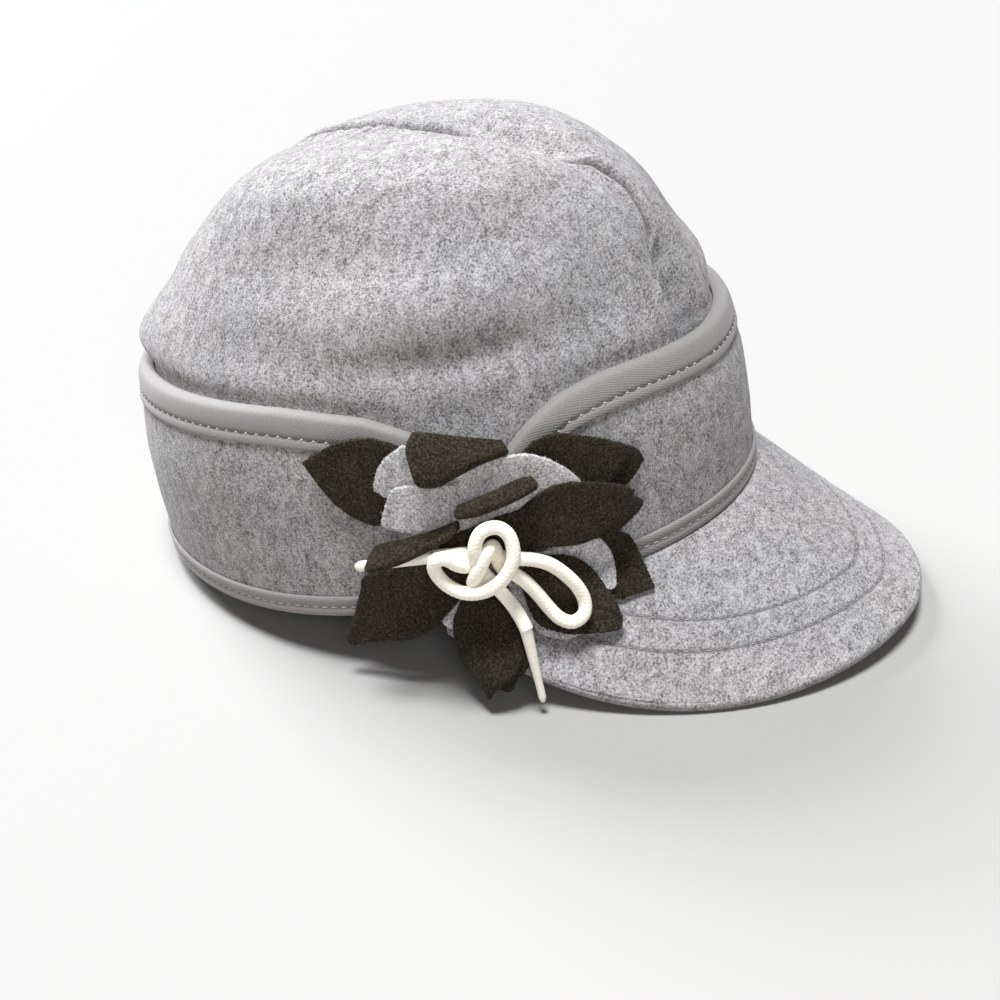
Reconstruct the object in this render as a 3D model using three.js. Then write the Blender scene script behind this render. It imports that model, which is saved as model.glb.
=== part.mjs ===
// Earflap cap of grey wool felt: crown, folded-up ear band, bound edges, peak, felt flower and lace bow.
// Millimetres, +Z up. The cap is built about the centre of its rim, with its front towards -Y and the
// flower on the wearer's right, -X. It is then tipped back, as it rests by itself on a table.

import * as THREE from 'three';
import { mergeVertices } from 'three/addons/utils/BufferGeometryUtils.js';

// Driving dimensions
const RIM_HALF_LENGTH = 105.1;
const RIM_HALF_WIDTH = 92.1;
const CROWN_WALL = 2.2;
const BAND_WALL = 2.6;
const TAPE_WALL = 0.8;
const GAP = 0.3;
const BOTTOM_TAPE_HEIGHT = 6.5;
const TOP_TAPE_HEIGHT = 9.0;
const TAPE_STACK = TAPE_WALL + GAP;
const RIM_WIDTH = BAND_WALL + CROWN_WALL + 2 * GAP + 2 * TAPE_STACK;

// How the cap rests on a table: tipped back about the X axis on to its rear rim and its peak, and where the
// centre of its rim then stands over the middle of what the cap covers
const REST_PITCH = THREE.MathUtils.degToRad(9.8);
const REST_LIFT = 17.45;
const REST_X = 6.5;
const REST_Y = 26.25;

// Facets
const CROWN_STEPS_ROUND = 24;
const CROWN_STEPS_UNDER_BAND = 3;
const CROWN_STEPS_ABOVE_BAND = 10;
const RING_STEPS = 72;
const VISOR_STEPS_ACROSS = 26;
const PETAL_STEPS_LONG = 7;
const PETAL_STEPS_WIDE = 3;
const LACE_SIDES = 8;
const KNOT_SIDES_ROUND = 10;
const KNOT_SIDES_UP = 7;
const RING_CROWDING = 0.26;

// Colours from the felt, tape, petals and lace
const FELT_GREY = 0xb1aeb2;
const TAPE_GREY = 0x9d9a98;
const PETAL_DARK = 0x2c2924;
const PETAL_GREY = 0x9b999d;
const LACE_CREAM = 0xf1ead2;

const FULL_TURN = 2 * Math.PI;

// Outer form of the folded-up band at a few heights: half-lengths to the front and back, half-width
const BAND_SECTIONS = [
  { z: 0, front: 104.0, back: 104.0, side: 91.0 },
  { z: 20, front: 104.6, back: 103.8, side: 91.6 },
  { z: 38, front: 104.4, back: 102.8, side: 91.4 },
  { z: 50, front: 102.3, back: 100.8, side: 89.9 },
  { z: 60, front: 99.3, back: 98.0, side: 87.6 },
  { z: 70, front: 96.0, back: 95.0, side: 85.0 },
];

// Height of the band's upper edge round the cap, from the front round by the wearer's right.
// The dip lies under the flower.
const BAND_TOP = [
  { angle: 0, z: 54.4 },
  { angle: 15, z: 55.9 },
  { angle: 30, z: 56.9 },
  { angle: 40, z: 54.7 },
  { angle: 47, z: 49.1 },
  { angle: 53, z: 41.4 },
  { angle: 58, z: 38.4 },
  { angle: 62, z: 44.9 },
  { angle: 66, z: 52.9 },
  { angle: 74, z: 58.5 },
  { angle: 90, z: 62.2 },
  { angle: 120, z: 63.1 },
  { angle: 180, z: 61.4 },
  { angle: 240, z: 62.4 },
  { angle: 285, z: 59.4 },
  { angle: 330, z: 55.4 },
  { angle: 360, z: 54.4 },
];

// Outer form of the crown at a few heights, where the band does not hold it in
const CROWN_SECTIONS = [
  { z: 1.1, front: 101.1, back: 101.1, side: 88.1 },
  { z: 22, front: 100.4, back: 99.4, side: 88.2 },
  { z: 42, front: 97.6, back: 96.6, side: 86.6 },
  { z: 56, front: 96.2, back: 94.8, side: 84.4 },
  { z: 65, front: 95.0, back: 95.6, side: 83.5 },
  { z: 76, front: 91.8, back: 86.7, side: 78.9 },
  { z: 87, front: 87.9, back: 78.0, side: 71.2 },
  { z: 96.5, front: 81.4, back: 71.2, side: 64.8 },
  { z: 104.5, front: 72.3, back: 61.5, side: 60.4 },
  { z: 111.5, front: 62.7, back: 52.0, side: 56.2 },
  { z: 117.7, front: 50.4, back: 40.9, side: 50.2 },
  { z: 121.9, front: 34.0, back: 26.7, side: 35.3 },
  { z: 124, front: 0, back: 0, side: 0 },
];
const CROWN_SQUARENESS = 2.2;
const CROWN_SQUARE_FROM = 62;
const CROWN_SQUARE_TO = 92;

// The crown presses against the inner face of the upper tape all round, within this reach of the tape's edge
const CROWN_TAPE_CLEARANCE = 0.4;
const CROWN_INSIDE_BAND = BAND_WALL + GAP + TAPE_WALL + CROWN_TAPE_CLEARANCE;
const CROWN_PRESS_REACH = 7;

// Seam from front to back: how deep the felt is drawn in, from the front rim over the top to the back rim
const SEAM_DEPTH = [
  { along: 0, depth: 0 },
  { along: 0.06, depth: 0 },
  { along: 0.11, depth: 8 },
  { along: 0.16, depth: 8.5 },
  { along: 0.2, depth: 7 },
  { along: 0.27, depth: 2 },
  { along: 0.34, depth: 2 },
  { along: 0.43, depth: 6.5 },
  { along: 0.5, depth: 2 },
  { along: 0.6, depth: 1.6 },
  { along: 0.78, depth: 1.5 },
  { along: 1, depth: 0 },
];
const SEAM_HALF_WIDTH = 8;

// Dents and swellings of the felt: place by angle and height, reach round and up, mm in is positive
const DENTS = [
  { angle: 60, z: 71, reachRound: 34, reachUp: 5.5, depth: 2.6 },
  { angle: 62, z: 85, reachRound: 42, reachUp: 9, depth: -3.4 },
  { angle: 22, z: 84, reachRound: 13, reachUp: 16, depth: 3.2 },
  { angle: 36, z: 108, reachRound: 16, reachUp: 7, depth: -2.2 },
  { angle: 100, z: 76, reachRound: 26, reachUp: 8, depth: 1.6 },
  { angle: 150, z: 80, reachRound: 30, reachUp: 10, depth: -1.6 },
  { angle: 150, z: 68, reachRound: 30, reachUp: 12, depth: -4.8 },
  { angle: 335, z: 84, reachRound: 16, reachUp: 14, depth: 5 },
  { angle: 326, z: 66, reachRound: 26, reachUp: 12, depth: -3.3 },
  { angle: 285, z: 74, reachRound: 34, reachUp: 7, depth: 2.0 },
  { angle: 275, z: 88, reachRound: 40, reachUp: 9, depth: -2.4 },
];

// Peak: where its corners leave the rim, its plan outline and the bend of its felt
const VISOR_CORNER_ANGLE = THREE.MathUtils.degToRad(65);
const VISOR_HALF_WIDTH = 88.7;
const VISOR_CORNER_Y = -44.2;
const VISOR_REACH = 113.6;
const VISOR_SIDE_POWER = 1.06;
const VISOR_FRONT_POWER = 0.93;
const VISOR_SLOPE = 0.688;
const VISOR_BEND = 0.0058;
const VISOR_THICKNESS = 4.4;
const VISOR_ROOT_UNDER_RIM = 6;
const VISOR_EDGE_ROUND = 1.2;
const VISOR_LIP_SHARE = 0.1;
const VISOR_TURN_WIDTH = 20;
const VISOR_ROWS = [0, 0.1, 0.24, 0.42, 0.62, 0.82, 1];

// Flower: it sits on the band's side at this angle, on an upright wall of this size
const FLOWER_ANGLE = THREE.MathUtils.degToRad(58.5);
const WALL_HALF_LENGTH = 105.0;
const WALL_HALF_WIDTH = 92.4;
const PETAL_WALL = 1.4;
const LAYER_FIRST = 0.6;
const LAYER_PITCH = PETAL_WALL + GAP;
const PETAL_ROOT_SHARE = 0.36;
const PETAL_TIP_HALF_WIDTH = 0.5;

// Petals lift over the peak below this height, by this slope and at most this far
const LIFT_BELOW = 5;
const LIFT_SLOPE = 0.5;
const LIFT_MOST = 10;
const LIFT_FROM_H = -14;
const LIFT_FULL_H = -2;

// Petals lying along the band: from root to tip, h mm along the band towards the front and k mm above the
// rim; width, share of the length where it is widest, sideways bow, power of the tip's curve, and layer
// out from the band
const DARK_PETALS = [
  { name: 'left', h0: -9, k0: 38, h1: -45.8, k1: 50.4, width: 25, widest: 0.46, bow: 1, tip: 0.9, layer: 0 },
  { name: 'top_right_back', h0: 14, k0: 37, h1: 51.8, k1: 32, width: 16, widest: 0.6, bow: 1, tip: 0.7, layer: 0 },
  { name: 'side', h0: 25, k0: 16, h1: 45.2, k1: -6, width: 16, widest: 0.66, bow: 2, tip: 0.55, layer: 0 },
  { name: 'top_right', h0: 9, k0: 36, h1: 49.5, k1: 35.2, width: 20, widest: 0.5, bow: 1.8, tip: 0.75, layer: 1 },
  { name: 'lower_left', h0: -5, k0: 17, h1: -44, k1: -6.6, width: 20, widest: 0.64, bow: -1.4, tip: 0.6, layer: 1 },
  { name: 'bottom_back', h0: 2, k0: 6, h1: 1.3, k1: -22.2, width: 15, widest: 0.55, bow: 0, tip: 0.7, layer: 2 },
  { name: 'right_back', h0: 15, k0: 22, h1: 47.4, k1: 21, width: 13, widest: 0.6, bow: 0, tip: 0.7, layer: 2 },
  { name: 'bottom', h0: -1, k0: 9, h1: -5, k1: -23.2, width: 18.5, widest: 0.5, bow: 1, tip: 0.85, layer: 3.3 },
  { name: 'lower_right', h0: 11, k0: 14, h1: 31.8, k1: -10.8, width: 19, widest: 0.5, bow: -1, tip: 0.7, layer: 2.3 },
  { name: 'right', h0: 3, k0: 25, h1: 44, k1: 27.4, width: 19, widest: 0.52, bow: 0, tip: 0.75, layer: 4 },
];
const GREY_PETALS = [
  { name: 'small', h0: -7, k0: 5, h1: -13, k1: -3, width: 8, widest: 0.6, bow: 0, tip: 0.5, layer: 1.95 },
  { name: 'upper_left', h0: -6, k0: 41, h1: -23.8, k1: 46.5, width: 17, widest: 0.6, bow: 0, tip: 0.5, layer: 1 },
  { name: 'lower_side', h0: 7, k0: 6, h1: 18.3, k1: -10.2, width: 15, widest: 0.6, bow: 0, tip: 0.5, layer: 1 },
  { name: 'right_side', h0: 10, k0: 14, h1: 36, k1: 6.4, width: 17, widest: 0.62, bow: 0, tip: 0.5, layer: 1.1 },
  { name: 'left', h0: -4, k0: 36, h1: -24, k1: 33.6, width: 13, widest: 0.62, bow: 0, tip: 0.5, layer: 2 },
  { name: 'arch', h0: -3, k0: 26, h1: 27, k1: 38.8, width: 27, widest: 0.52, bow: 3, tip: 0.5, layer: 3 },
];

// Petals that stand out from the band: rise to the inner edge and to the outer edge, mm above and out
const STANDING_PETALS = [
  {
    name: 'top_fold', h0: -12.4, k0: 53.6, h1: 12.5, k1: 48.4, rootShare: 1, tipShare: 0.26,
    inner: { k: 4.4, off: 4.2 }, outer: { k: -7.6, off: 12.6 },
  },
  {
    name: 'curl', h0: -3, k0: 36, h1: 17.5, k1: 39.8, rootShare: 1, tipShare: 0.8,
    inner: { k: 0, off: 7.8 }, outer: { k: 0, off: 15 },
  },
  {
    name: 'strip', h0: -3, k0: 29.6, h1: -27.8, k1: 26.6, rootShare: 0.6, tipShare: 1.1,
    inner: { k: 0.1, off: 7.75 }, outer: { k: -2.6, off: 16 },
  },
];

// Lace: round, braided, tied in a bow over the flower. Each row is h, k and out from the band, mm
const LACE_DIAMETER = 3.9;
const LACE_STEP = 3.2;
const LACE_LOOP_LEFT = [
  [-4.9, 21.2, 15.0], [-7.0, 24.0, 15.8], [-9.6, 24.2, 16.2], [-10.9, 21.6, 15.6], [-10.4, 18.2, 15.0],
  [-8.4, 14.8, 15.0], [-5.2, 12.5, 15.6], [-1.4, 12.1, 16.4], [2.6, 13.4, 17.0], [6.0, 16.4, 17.4],
  [8.2, 20.2, 17.4], [8.9, 24.0, 16.8], [8.5, 27.6, 16.0], [6.8, 30.0, 15.4], [4.4, 30.6, 15.2],
  [1.8, 29.6, 15.6], [0.6, 27.2, 16.0], [0.4, 25.6, 16.0],
];
const LACE_LOOP_RIGHT = [
  [7.4, 18.8, 12.4], [10.6, 17.9, 12.2], [13.7, 16.6, 12.0], [17.3, 14.0, 11.7], [20.5, 9.9, 11.5],
  [23.2, 4.9, 11.4], [24.4, 0.0, 11.7], [23.4, -3.7, 12.8], [20.2, -4.9, 13.4], [17.2, -3.1, 12.6],
  [15.0, 0.7, 11.8], [12.8, 5.8, 11.7], [10.4, 10.5, 11.9], [8.2, 13.4, 12.2],
];
const LACE_TAIL_LEFT = [
  [-5.0, 22.4, 11.4], [-8.0, 22.9, 11.6], [-11.0, 23.0, 11.8],
];
const LACE_TAIL_RIGHT = [
  [1.2, 14.1, 11.5], [3.4, 9.9, 12.1], [5.6, 5.4, 12.6], [7.3, 1.2, 14.2], [8.3, -2.6, 16.0],
];
const KNOT_CENTRE = [1.2, 19.4, 13.6];
const KNOT_HALF_SIZE = [5.6, 4.6, 4.2];

// Flattened ends of the lace, from the lace end to the tip, with the half-widths there
const LACE_TIPS = [
  { name: 'lace_tip_left', from: [-11.3, 23.0, 11.8], to: [-32.4, 21.6, 11.4], startRadius: 1.6, endRadius: 1.1 },
  { name: 'lace_tip_right', from: [8.4, -3.5, 16.4], to: [8.8, -26.0, 17.2], startRadius: 1.6, endRadius: 1.1 },
];

// Position between table rows, smooth through each row: Catmull-Rom on the row's number
function smoothColumn(table, key, place) {
  const last = table.length - 1;
  const row = Math.min(Math.floor(place), last - 1);
  const t = place - row;
  const before = table[Math.max(row - 1, 0)][key];
  const here = table[row][key];
  const next = table[row + 1][key];
  const after = table[Math.min(row + 2, last)][key];
  const slopeHere = (next - before) / 2;
  const slopeNext = (after - here) / 2;
  const t2 = t * t;
  const t3 = t2 * t;
  return (2 * t3 - 3 * t2 + 1) * here + (t3 - 2 * t2 + t) * slopeHere
    + (3 * t2 - 2 * t3) * next + (t3 - t2) * slopeNext;
}

// Value of one column at a value of another that rises down the table, on straight lines or smoothed
function lookUp(table, from, value, to) {
  let row = 0;
  while (row < table.length - 2 && table[row + 1][from] < value) {
    row += 1;
  }
  const start = table[row][from];
  const share = THREE.MathUtils.clamp((value - start) / (table[row + 1][from] - start), 0, 1);
  return THREE.MathUtils.lerp(table[row][to], table[row + 1][to], THREE.MathUtils.smoothstep(share, 0, 1));
}

function lookUpStraight(table, from, value, to) {
  let row = 0;
  while (row < table.length - 2 && table[row + 1][from] < value) {
    row += 1;
  }
  const start = table[row][from];
  const share = THREE.MathUtils.clamp((value - start) / (table[row + 1][from] - start), 0, 1);
  return THREE.MathUtils.lerp(table[row][to], table[row + 1][to], share);
}

function signedPower(value, power) {
  return Math.sign(value) * Math.abs(value) ** power;
}

// Press a point up on to the table where the soft cap would dip below it
function pressOnTable(point) {
  const height = REST_LIFT - point.y * Math.sin(REST_PITCH) + point.z * Math.cos(REST_PITCH);
  if (height >= 0) {
    return point;
  }
  const up = new THREE.Vector3(0, -Math.sin(REST_PITCH), Math.cos(REST_PITCH));
  return point.clone().addScaledVector(up, -height);
}

// Closed solid through a row of loops of points. A ring joins the last loop to the first; otherwise each
// end is closed by strips across the loop, whose first half runs out and whose second half runs back.
function loftSolid(loops, isRing) {
  const size = loops[0].length;
  const positions = loops.flat().flatMap((point) => [point.x, point.y, point.z]);
  const index = [];
  const quad = (a, b, c, d) => index.push(a, b, c, a, c, d);
  const spans = isRing ? loops.length : loops.length - 1;
  for (let i = 0; i < spans; i += 1) {
    const here = i * size;
    const next = ((i + 1) % loops.length) * size;
    for (let j = 0; j < size; j += 1) {
      const k = (j + 1) % size;
      quad(here + j, here + k, next + k, next + j);
    }
  }
  if (!isRing) {
    const end = (loops.length - 1) * size;
    for (let j = 0; j < size / 2 - 1; j += 1) {
      const back = size - 1 - j;
      quad(j, back, back - 1, j + 1);
      quad(end + j, end + j + 1, end + back - 1, end + back);
    }
  }
  return closedGeometry(positions, index);
}

// Geometry with shared corners, no flat faces and its faces pointing out
function closedGeometry(positions, index) {
  const loose = new THREE.BufferGeometry();
  loose.setAttribute('position', new THREE.Float32BufferAttribute(positions, 3));
  loose.setIndex(index);
  const merged = mergeVertices(loose, 1e-3);
  const corners = merged.index.array;
  const kept = [];
  for (let i = 0; i < corners.length; i += 3) {
    const [a, b, c] = [corners[i], corners[i + 1], corners[i + 2]];
    if (a !== b && b !== c && c !== a) {
      kept.push(a, b, c);
    }
  }
  merged.setIndex(signedVolume(merged, kept) < 0 ? kept.reverse() : kept);
  merged.computeVertexNormals();
  return merged;
}

function signedVolume(geometry, corners) {
  const place = geometry.attributes.position;
  const a = new THREE.Vector3();
  const b = new THREE.Vector3();
  const c = new THREE.Vector3();
  let volume = 0;
  for (let i = 0; i < corners.length; i += 3) {
    a.fromBufferAttribute(place, corners[i]);
    b.fromBufferAttribute(place, corners[i + 1]);
    c.fromBufferAttribute(place, corners[i + 2]);
    volume += a.dot(b.cross(c)) / 6;
  }
  return volume;
}

// Crown

function crownForm(place) {
  return {
    z: smoothColumn(CROWN_SECTIONS, 'z', place),
    front: smoothColumn(CROWN_SECTIONS, 'front', place),
    back: smoothColumn(CROWN_SECTIONS, 'back', place),
    side: smoothColumn(CROWN_SECTIONS, 'side', place),
  };
}

// Crown before its seam and dents: angle 0 at the front, and side -1 for the wearer's right
function plainCrownPoint(angle, up, side) {
  const form = crownForm(up * (CROWN_SECTIONS.length - 1));
  const square = THREE.MathUtils.smoothstep(form.z, CROWN_SQUARE_FROM, CROWN_SQUARE_TO);
  const power = 2 / THREE.MathUtils.lerp(2, CROWN_SQUARENESS, square);
  const length = Math.cos(angle) > 0 ? form.front : form.back;
  return new THREE.Vector3(
    side * (GAP / 2 + form.side * Math.abs(Math.sin(angle)) ** power),
    -length * signedPower(Math.cos(angle), power),
    form.z,
  );
}

// Outward direction, by small steps along the surface. On the seam it stays in the seam's plane.
function crownNormal(angle, up, side) {
  const step = 0.01;
  const low = Math.min(up, 1 - 2 * step);
  const a = plainCrownPoint(Math.max(angle - step, 0), low, side);
  const b = plainCrownPoint(Math.min(angle + step, Math.PI), low, side);
  const c = plainCrownPoint(angle, Math.max(low - step, 0), side);
  const d = plainCrownPoint(angle, low + step, side);
  const normal = b.sub(a).cross(d.sub(c)).multiplyScalar(side);
  if (angle === 0 || angle === Math.PI) {
    normal.x = 0;
  }
  if (up === 1) {
    normal.set(0, 0, 1);
  }
  return normal.normalize();
}

function dentDepth(point, angle, side) {
  const turn = side < 0 ? angle : FULL_TURN - angle;
  let depth = 0;
  for (const dent of DENTS) {
    const round = (turn - THREE.MathUtils.degToRad(dent.angle)) * Math.hypot(point.x, point.y);
    const high = point.z - dent.z;
    depth += dent.depth * Math.exp(-((round / dent.reachRound) ** 2) - (high / dent.reachUp) ** 2);
  }
  return depth;
}

function seamDepth(point, angle, up) {
  const along = angle < Math.PI / 2 ? up / 2 : 1 - up / 2;
  const away = Math.abs(point.x) - GAP / 2;
  return lookUp(SEAM_DEPTH, 'along', along, 'depth') * Math.exp(-((away / SEAM_HALF_WIDTH) ** 2));
}

// Move a point of the crown level with itself, to press against the tape
function pressToTape(point, turn) {
  const edge = bandTop(turn) + TAPE_STACK;
  const size = bandSize(Math.min(point.z, edge), point.y < 0);
  const reached = Math.hypot(
    point.x / (size.side - CROWN_INSIDE_BAND),
    point.y / (size.length - CROWN_INSIDE_BAND),
  );
  const share = Math.exp(-(((point.z - edge) / CROWN_PRESS_REACH) ** 2));
  const scale = THREE.MathUtils.lerp(reached, 1, share) / reached;
  return new THREE.Vector3(point.x * scale, point.y * scale, point.z);
}

function crownPoint(angle, up, side, inset) {
  const plain = plainCrownPoint(angle, up, side);
  const normal = crownNormal(angle, up, side);
  const dented = plain.clone().addScaledVector(normal, -dentDepth(plain, angle, side));
  const pressed = up < 1 ? pressToTape(dented, side < 0 ? angle : FULL_TURN - angle) : dented;
  return pressed.addScaledVector(normal, -seamDepth(plain, angle, up) - inset);
}

// Shares of the way up at which the crown's rows lie, one of them at the upper tape's edge
function crownRows(angle, side) {
  const edge = bandTop(side < 0 ? angle : FULL_TURN - angle) + TAPE_STACK;
  let low = 0;
  let high = 1;
  while (high - low > 1e-4) {
    const middle = (low + high) / 2;
    if (crownForm(middle * (CROWN_SECTIONS.length - 1)).z < edge) {
      low = middle;
    } else {
      high = middle;
    }
  }
  const rows = [];
  for (let j = 0; j < CROWN_STEPS_UNDER_BAND; j += 1) {
    rows.push((low * j) / CROWN_STEPS_UNDER_BAND);
  }
  for (let j = 0; j < CROWN_STEPS_ABOVE_BAND; j += 1) {
    rows.push(low + ((1 - low) * j) / CROWN_STEPS_ABOVE_BAND);
  }
  return [...rows, 1];
}

function crownHalf(side) {
  const loops = [];
  for (let i = 0; i <= CROWN_STEPS_ROUND; i += 1) {
    const angle = i === CROWN_STEPS_ROUND ? Math.PI : (i / CROWN_STEPS_ROUND) * Math.PI;
    const outer = [];
    const inner = [];
    for (const up of crownRows(angle, side)) {
      outer.push(crownPoint(angle, up, side, 0));
      inner.unshift(crownPoint(angle, up, side, CROWN_WALL));
    }
    loops.push([...outer, ...inner]);
  }
  return loftSolid(loops, false);
}

// Band and tape

function bandSize(z, isFront) {
  return {
    length: lookUpStraight(BAND_SECTIONS, 'z', z, isFront ? 'front' : 'back'),
    side: lookUpStraight(BAND_SECTIONS, 'z', z, 'side'),
  };
}

function bandPoint(angle, z, inset) {
  const size = bandSize(z, Math.cos(angle) > 0);
  return new THREE.Vector3(
    -(size.side - inset) * Math.sin(angle),
    -(size.length - inset) * Math.cos(angle),
    z,
  );
}

function bandTop(angle) {
  let row = 0;
  const degrees = THREE.MathUtils.radToDeg(angle);
  while (row < BAND_TOP.length - 2 && BAND_TOP[row + 1].angle <= degrees) {
    row += 1;
  }
  const share = (degrees - BAND_TOP[row].angle) / (BAND_TOP[row + 1].angle - BAND_TOP[row].angle);
  return smoothColumn(BAND_TOP, 'z', row + share);
}

// Angles round the cap, closer together where the band's edge dips
function ringAngles() {
  const angles = [];
  for (let i = 0; i < RING_STEPS; i += 1) {
    const even = (i / RING_STEPS) * FULL_TURN;
    const away = even - FLOWER_ANGLE;
    angles.push(even - RING_CROWDING * Math.sin(away) * Math.exp(Math.cos(away) - 1));
  }
  return angles.map((angle) => (angle + FULL_TURN) % FULL_TURN);
}

// Height of tape that keeps its width where the edge it covers runs steeply
function slantedTapeHeight(angle) {
  const step = 0.02;
  const rise = bandTop((angle + step) % FULL_TURN) - bandTop((angle - step + FULL_TURN) % FULL_TURN);
  const run = 2 * step * Math.hypot(RIM_HALF_WIDTH * Math.cos(angle), RIM_HALF_LENGTH * Math.sin(angle));
  return TOP_TAPE_HEIGHT * Math.hypot(1, rise / run);
}

function earband() {
  const low = TAPE_STACK;
  const loops = ringAngles().map((angle) => {
    const top = bandTop(angle);
    const underTape = top - slantedTapeHeight(angle);
    const heights = [low, low + 0.5 * (underTape - low), underTape, top];
    const outer = heights.map((z) => bandPoint(angle, z, 0));
    const inner = heights.map((z) => bandPoint(angle, z, BAND_WALL)).reverse();
    return [...outer, ...inner];
  });
  return loftSolid(loops, true);
}

// Tape folded over the band's upper edge
function bindingTop() {
  const loops = ringAngles().map((angle) => {
    const edge = bandTop(angle);
    const low = edge - slantedTapeHeight(angle);
    const inside = BAND_WALL + GAP;
    const outerSkin = [
      bandPoint(angle, low, -TAPE_STACK),
      bandPoint(angle, edge, -TAPE_STACK),
      bandPoint(angle, edge + TAPE_STACK, -GAP),
      bandPoint(angle, edge + TAPE_STACK, inside),
      bandPoint(angle, edge, inside + TAPE_WALL),
      bandPoint(angle, low, inside + TAPE_WALL),
    ];
    const innerSkin = [
      bandPoint(angle, low, inside),
      bandPoint(angle, edge, inside),
      bandPoint(angle, edge + GAP, inside),
      bandPoint(angle, edge + GAP, -GAP),
      bandPoint(angle, edge, -GAP),
      bandPoint(angle, low, -GAP),
    ];
    return [...outerSkin, ...innerSkin];
  });
  return loftSolid(loops, true);
}

// Tape folded round the rim, over the lower edges of the band and the crown
function bindingBottom() {
  const loops = ringAngles().map((angle) => {
    const inside = RIM_WIDTH - TAPE_STACK;
    const outerSkin = [
      bandPoint(angle, BOTTOM_TAPE_HEIGHT, -TAPE_STACK),
      bandPoint(angle, TAPE_WALL, -TAPE_STACK),
      bandPoint(angle, 0, -GAP),
      bandPoint(angle, 0, inside - TAPE_WALL),
      bandPoint(angle, TAPE_WALL, inside),
      bandPoint(angle, BOTTOM_TAPE_HEIGHT, inside),
    ];
    const innerSkin = [
      bandPoint(angle, BOTTOM_TAPE_HEIGHT, inside - TAPE_WALL),
      bandPoint(angle, TAPE_WALL, inside - TAPE_WALL),
      bandPoint(angle, TAPE_WALL, -GAP),
      bandPoint(angle, BOTTOM_TAPE_HEIGHT, -GAP),
    ];
    outerSkin[2].z = 0;
    outerSkin[3].z = 0;
    return [...outerSkin, ...innerSkin].map(pressOnTable);
  });
  return loftSolid(loops, true);
}

// Peak

// Upper surface of the peak, across from -1 to 1 and out from 0 at the rim to 1 at its edge
function visorPoint(across, out) {
  const rootAngle = -across * VISOR_CORNER_ANGLE;
  const turn = across * (Math.PI / 2);
  const root = new THREE.Vector2(
    -RIM_HALF_WIDTH * Math.sin(rootAngle),
    -RIM_HALF_LENGTH * Math.cos(rootAngle),
  );
  const edge = new THREE.Vector2(
    VISOR_HALF_WIDTH * signedPower(Math.sin(turn), VISOR_SIDE_POWER),
    VISOR_CORNER_Y - VISOR_REACH * Math.cos(turn) ** VISOR_FRONT_POWER,
  );
  const place = root.clone().lerp(edge, out);
  const fall = (spot) => VISOR_SLOPE * (spot.y + RIM_HALF_LENGTH) - VISOR_BEND * spot.x ** 2;
  const meetRim = (-GAP - fall(root)) * (1 - out) ** 2;
  return new THREE.Vector3(place.x, place.y, fall(place) + meetRim);
}

function visorNormal(across, out) {
  const step = 0.01;
  const side = THREE.MathUtils.clamp(across, -1 + step, 1 - step);
  const low = THREE.MathUtils.clamp(out, step, 1 - step);
  const a = visorPoint(side - step, low);
  const b = visorPoint(side + step, low);
  const c = visorPoint(side, low - step);
  const d = visorPoint(side, low + step);
  const normal = b.sub(a).cross(d.sub(c)).normalize();
  return normal.z < 0 ? normal.negate() : normal;
}

// From the upper surface to the lower one: straight down at the rim, square to the felt further out
function visorDown(across, out, rim, face) {
  const share = Math.min(1, rim.distanceTo(face) / VISOR_TURN_WIDTH);
  const square = visorNormal(across, out).negate();
  return new THREE.Vector3(0, 0, -1).lerp(square, share).setLength(VISOR_THICKNESS);
}

// The root runs on under the rim, and the outer edge is rounded by two more points down its thickness
function visor() {
  const loops = [];
  for (let i = 0; i <= VISOR_STEPS_ACROSS; i += 1) {
    const across = -1 + (2 * i) / VISOR_STEPS_ACROSS;
    const rim = visorPoint(across, 0);
    const inward = new THREE.Vector3(-rim.x, -rim.y, 0).setLength(VISOR_ROOT_UNDER_RIM);
    const root = rim.clone().add(inward);
    const straightDown = new THREE.Vector3(0, 0, -VISOR_THICKNESS);
    const upper = [root, rim];
    const lower = [root.clone().add(straightDown), rim.clone().add(straightDown)];
    for (const out of VISOR_ROWS.slice(1, -1)) {
      const face = visorPoint(across, out);
      upper.push(face);
      lower.push(face.clone().add(visorDown(across, out, rim, face)));
    }
    const edge = visorPoint(across, 1);
    const down = visorDown(across, 1, rim, edge);
    const width = rim.distanceTo(edge);
    const back = rim.clone().sub(edge).setLength(Math.min(VISOR_EDGE_ROUND, VISOR_LIP_SHARE * width));
    const lip = edge.clone().add(back);
    upper.push(lip, edge.clone().addScaledVector(down, 1 / 3));
    lower.push(lip.clone().add(down), edge.clone().addScaledVector(down, 2 / 3));
    loops.push([...upper, ...lower.reverse()].map(pressOnTable));
  }
  return loftSolid(loops, false);
}

// Flower and lace

// Angle round the rim at a length h along the band from the flower's centre towards the front
function angleAlongBand(h) {
  const steps = 60;
  let angle = FLOWER_ANGLE;
  for (let i = 0; i < steps; i += 1) {
    angle -= h / steps / Math.hypot(WALL_HALF_WIDTH * Math.cos(angle), WALL_HALF_LENGTH * Math.sin(angle));
  }
  return angle;
}

function wallPoint(h, k, off) {
  const angle = angleAlongBand(h);
  const out = new THREE.Vector3(
    -Math.sin(angle) / WALL_HALF_WIDTH,
    -Math.cos(angle) / WALL_HALF_LENGTH,
    0,
  ).normalize();
  return new THREE.Vector3(-WALL_HALF_WIDTH * Math.sin(angle), -WALL_HALF_LENGTH * Math.cos(angle), k)
    .addScaledVector(out, off);
}

function liftOverPeak(h, k) {
  const share = THREE.MathUtils.smoothstep(h, LIFT_FROM_H, LIFT_FULL_H);
  return share * THREE.MathUtils.clamp(LIFT_SLOPE * (LIFT_BELOW - k), 0, LIFT_MOST);
}

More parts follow.
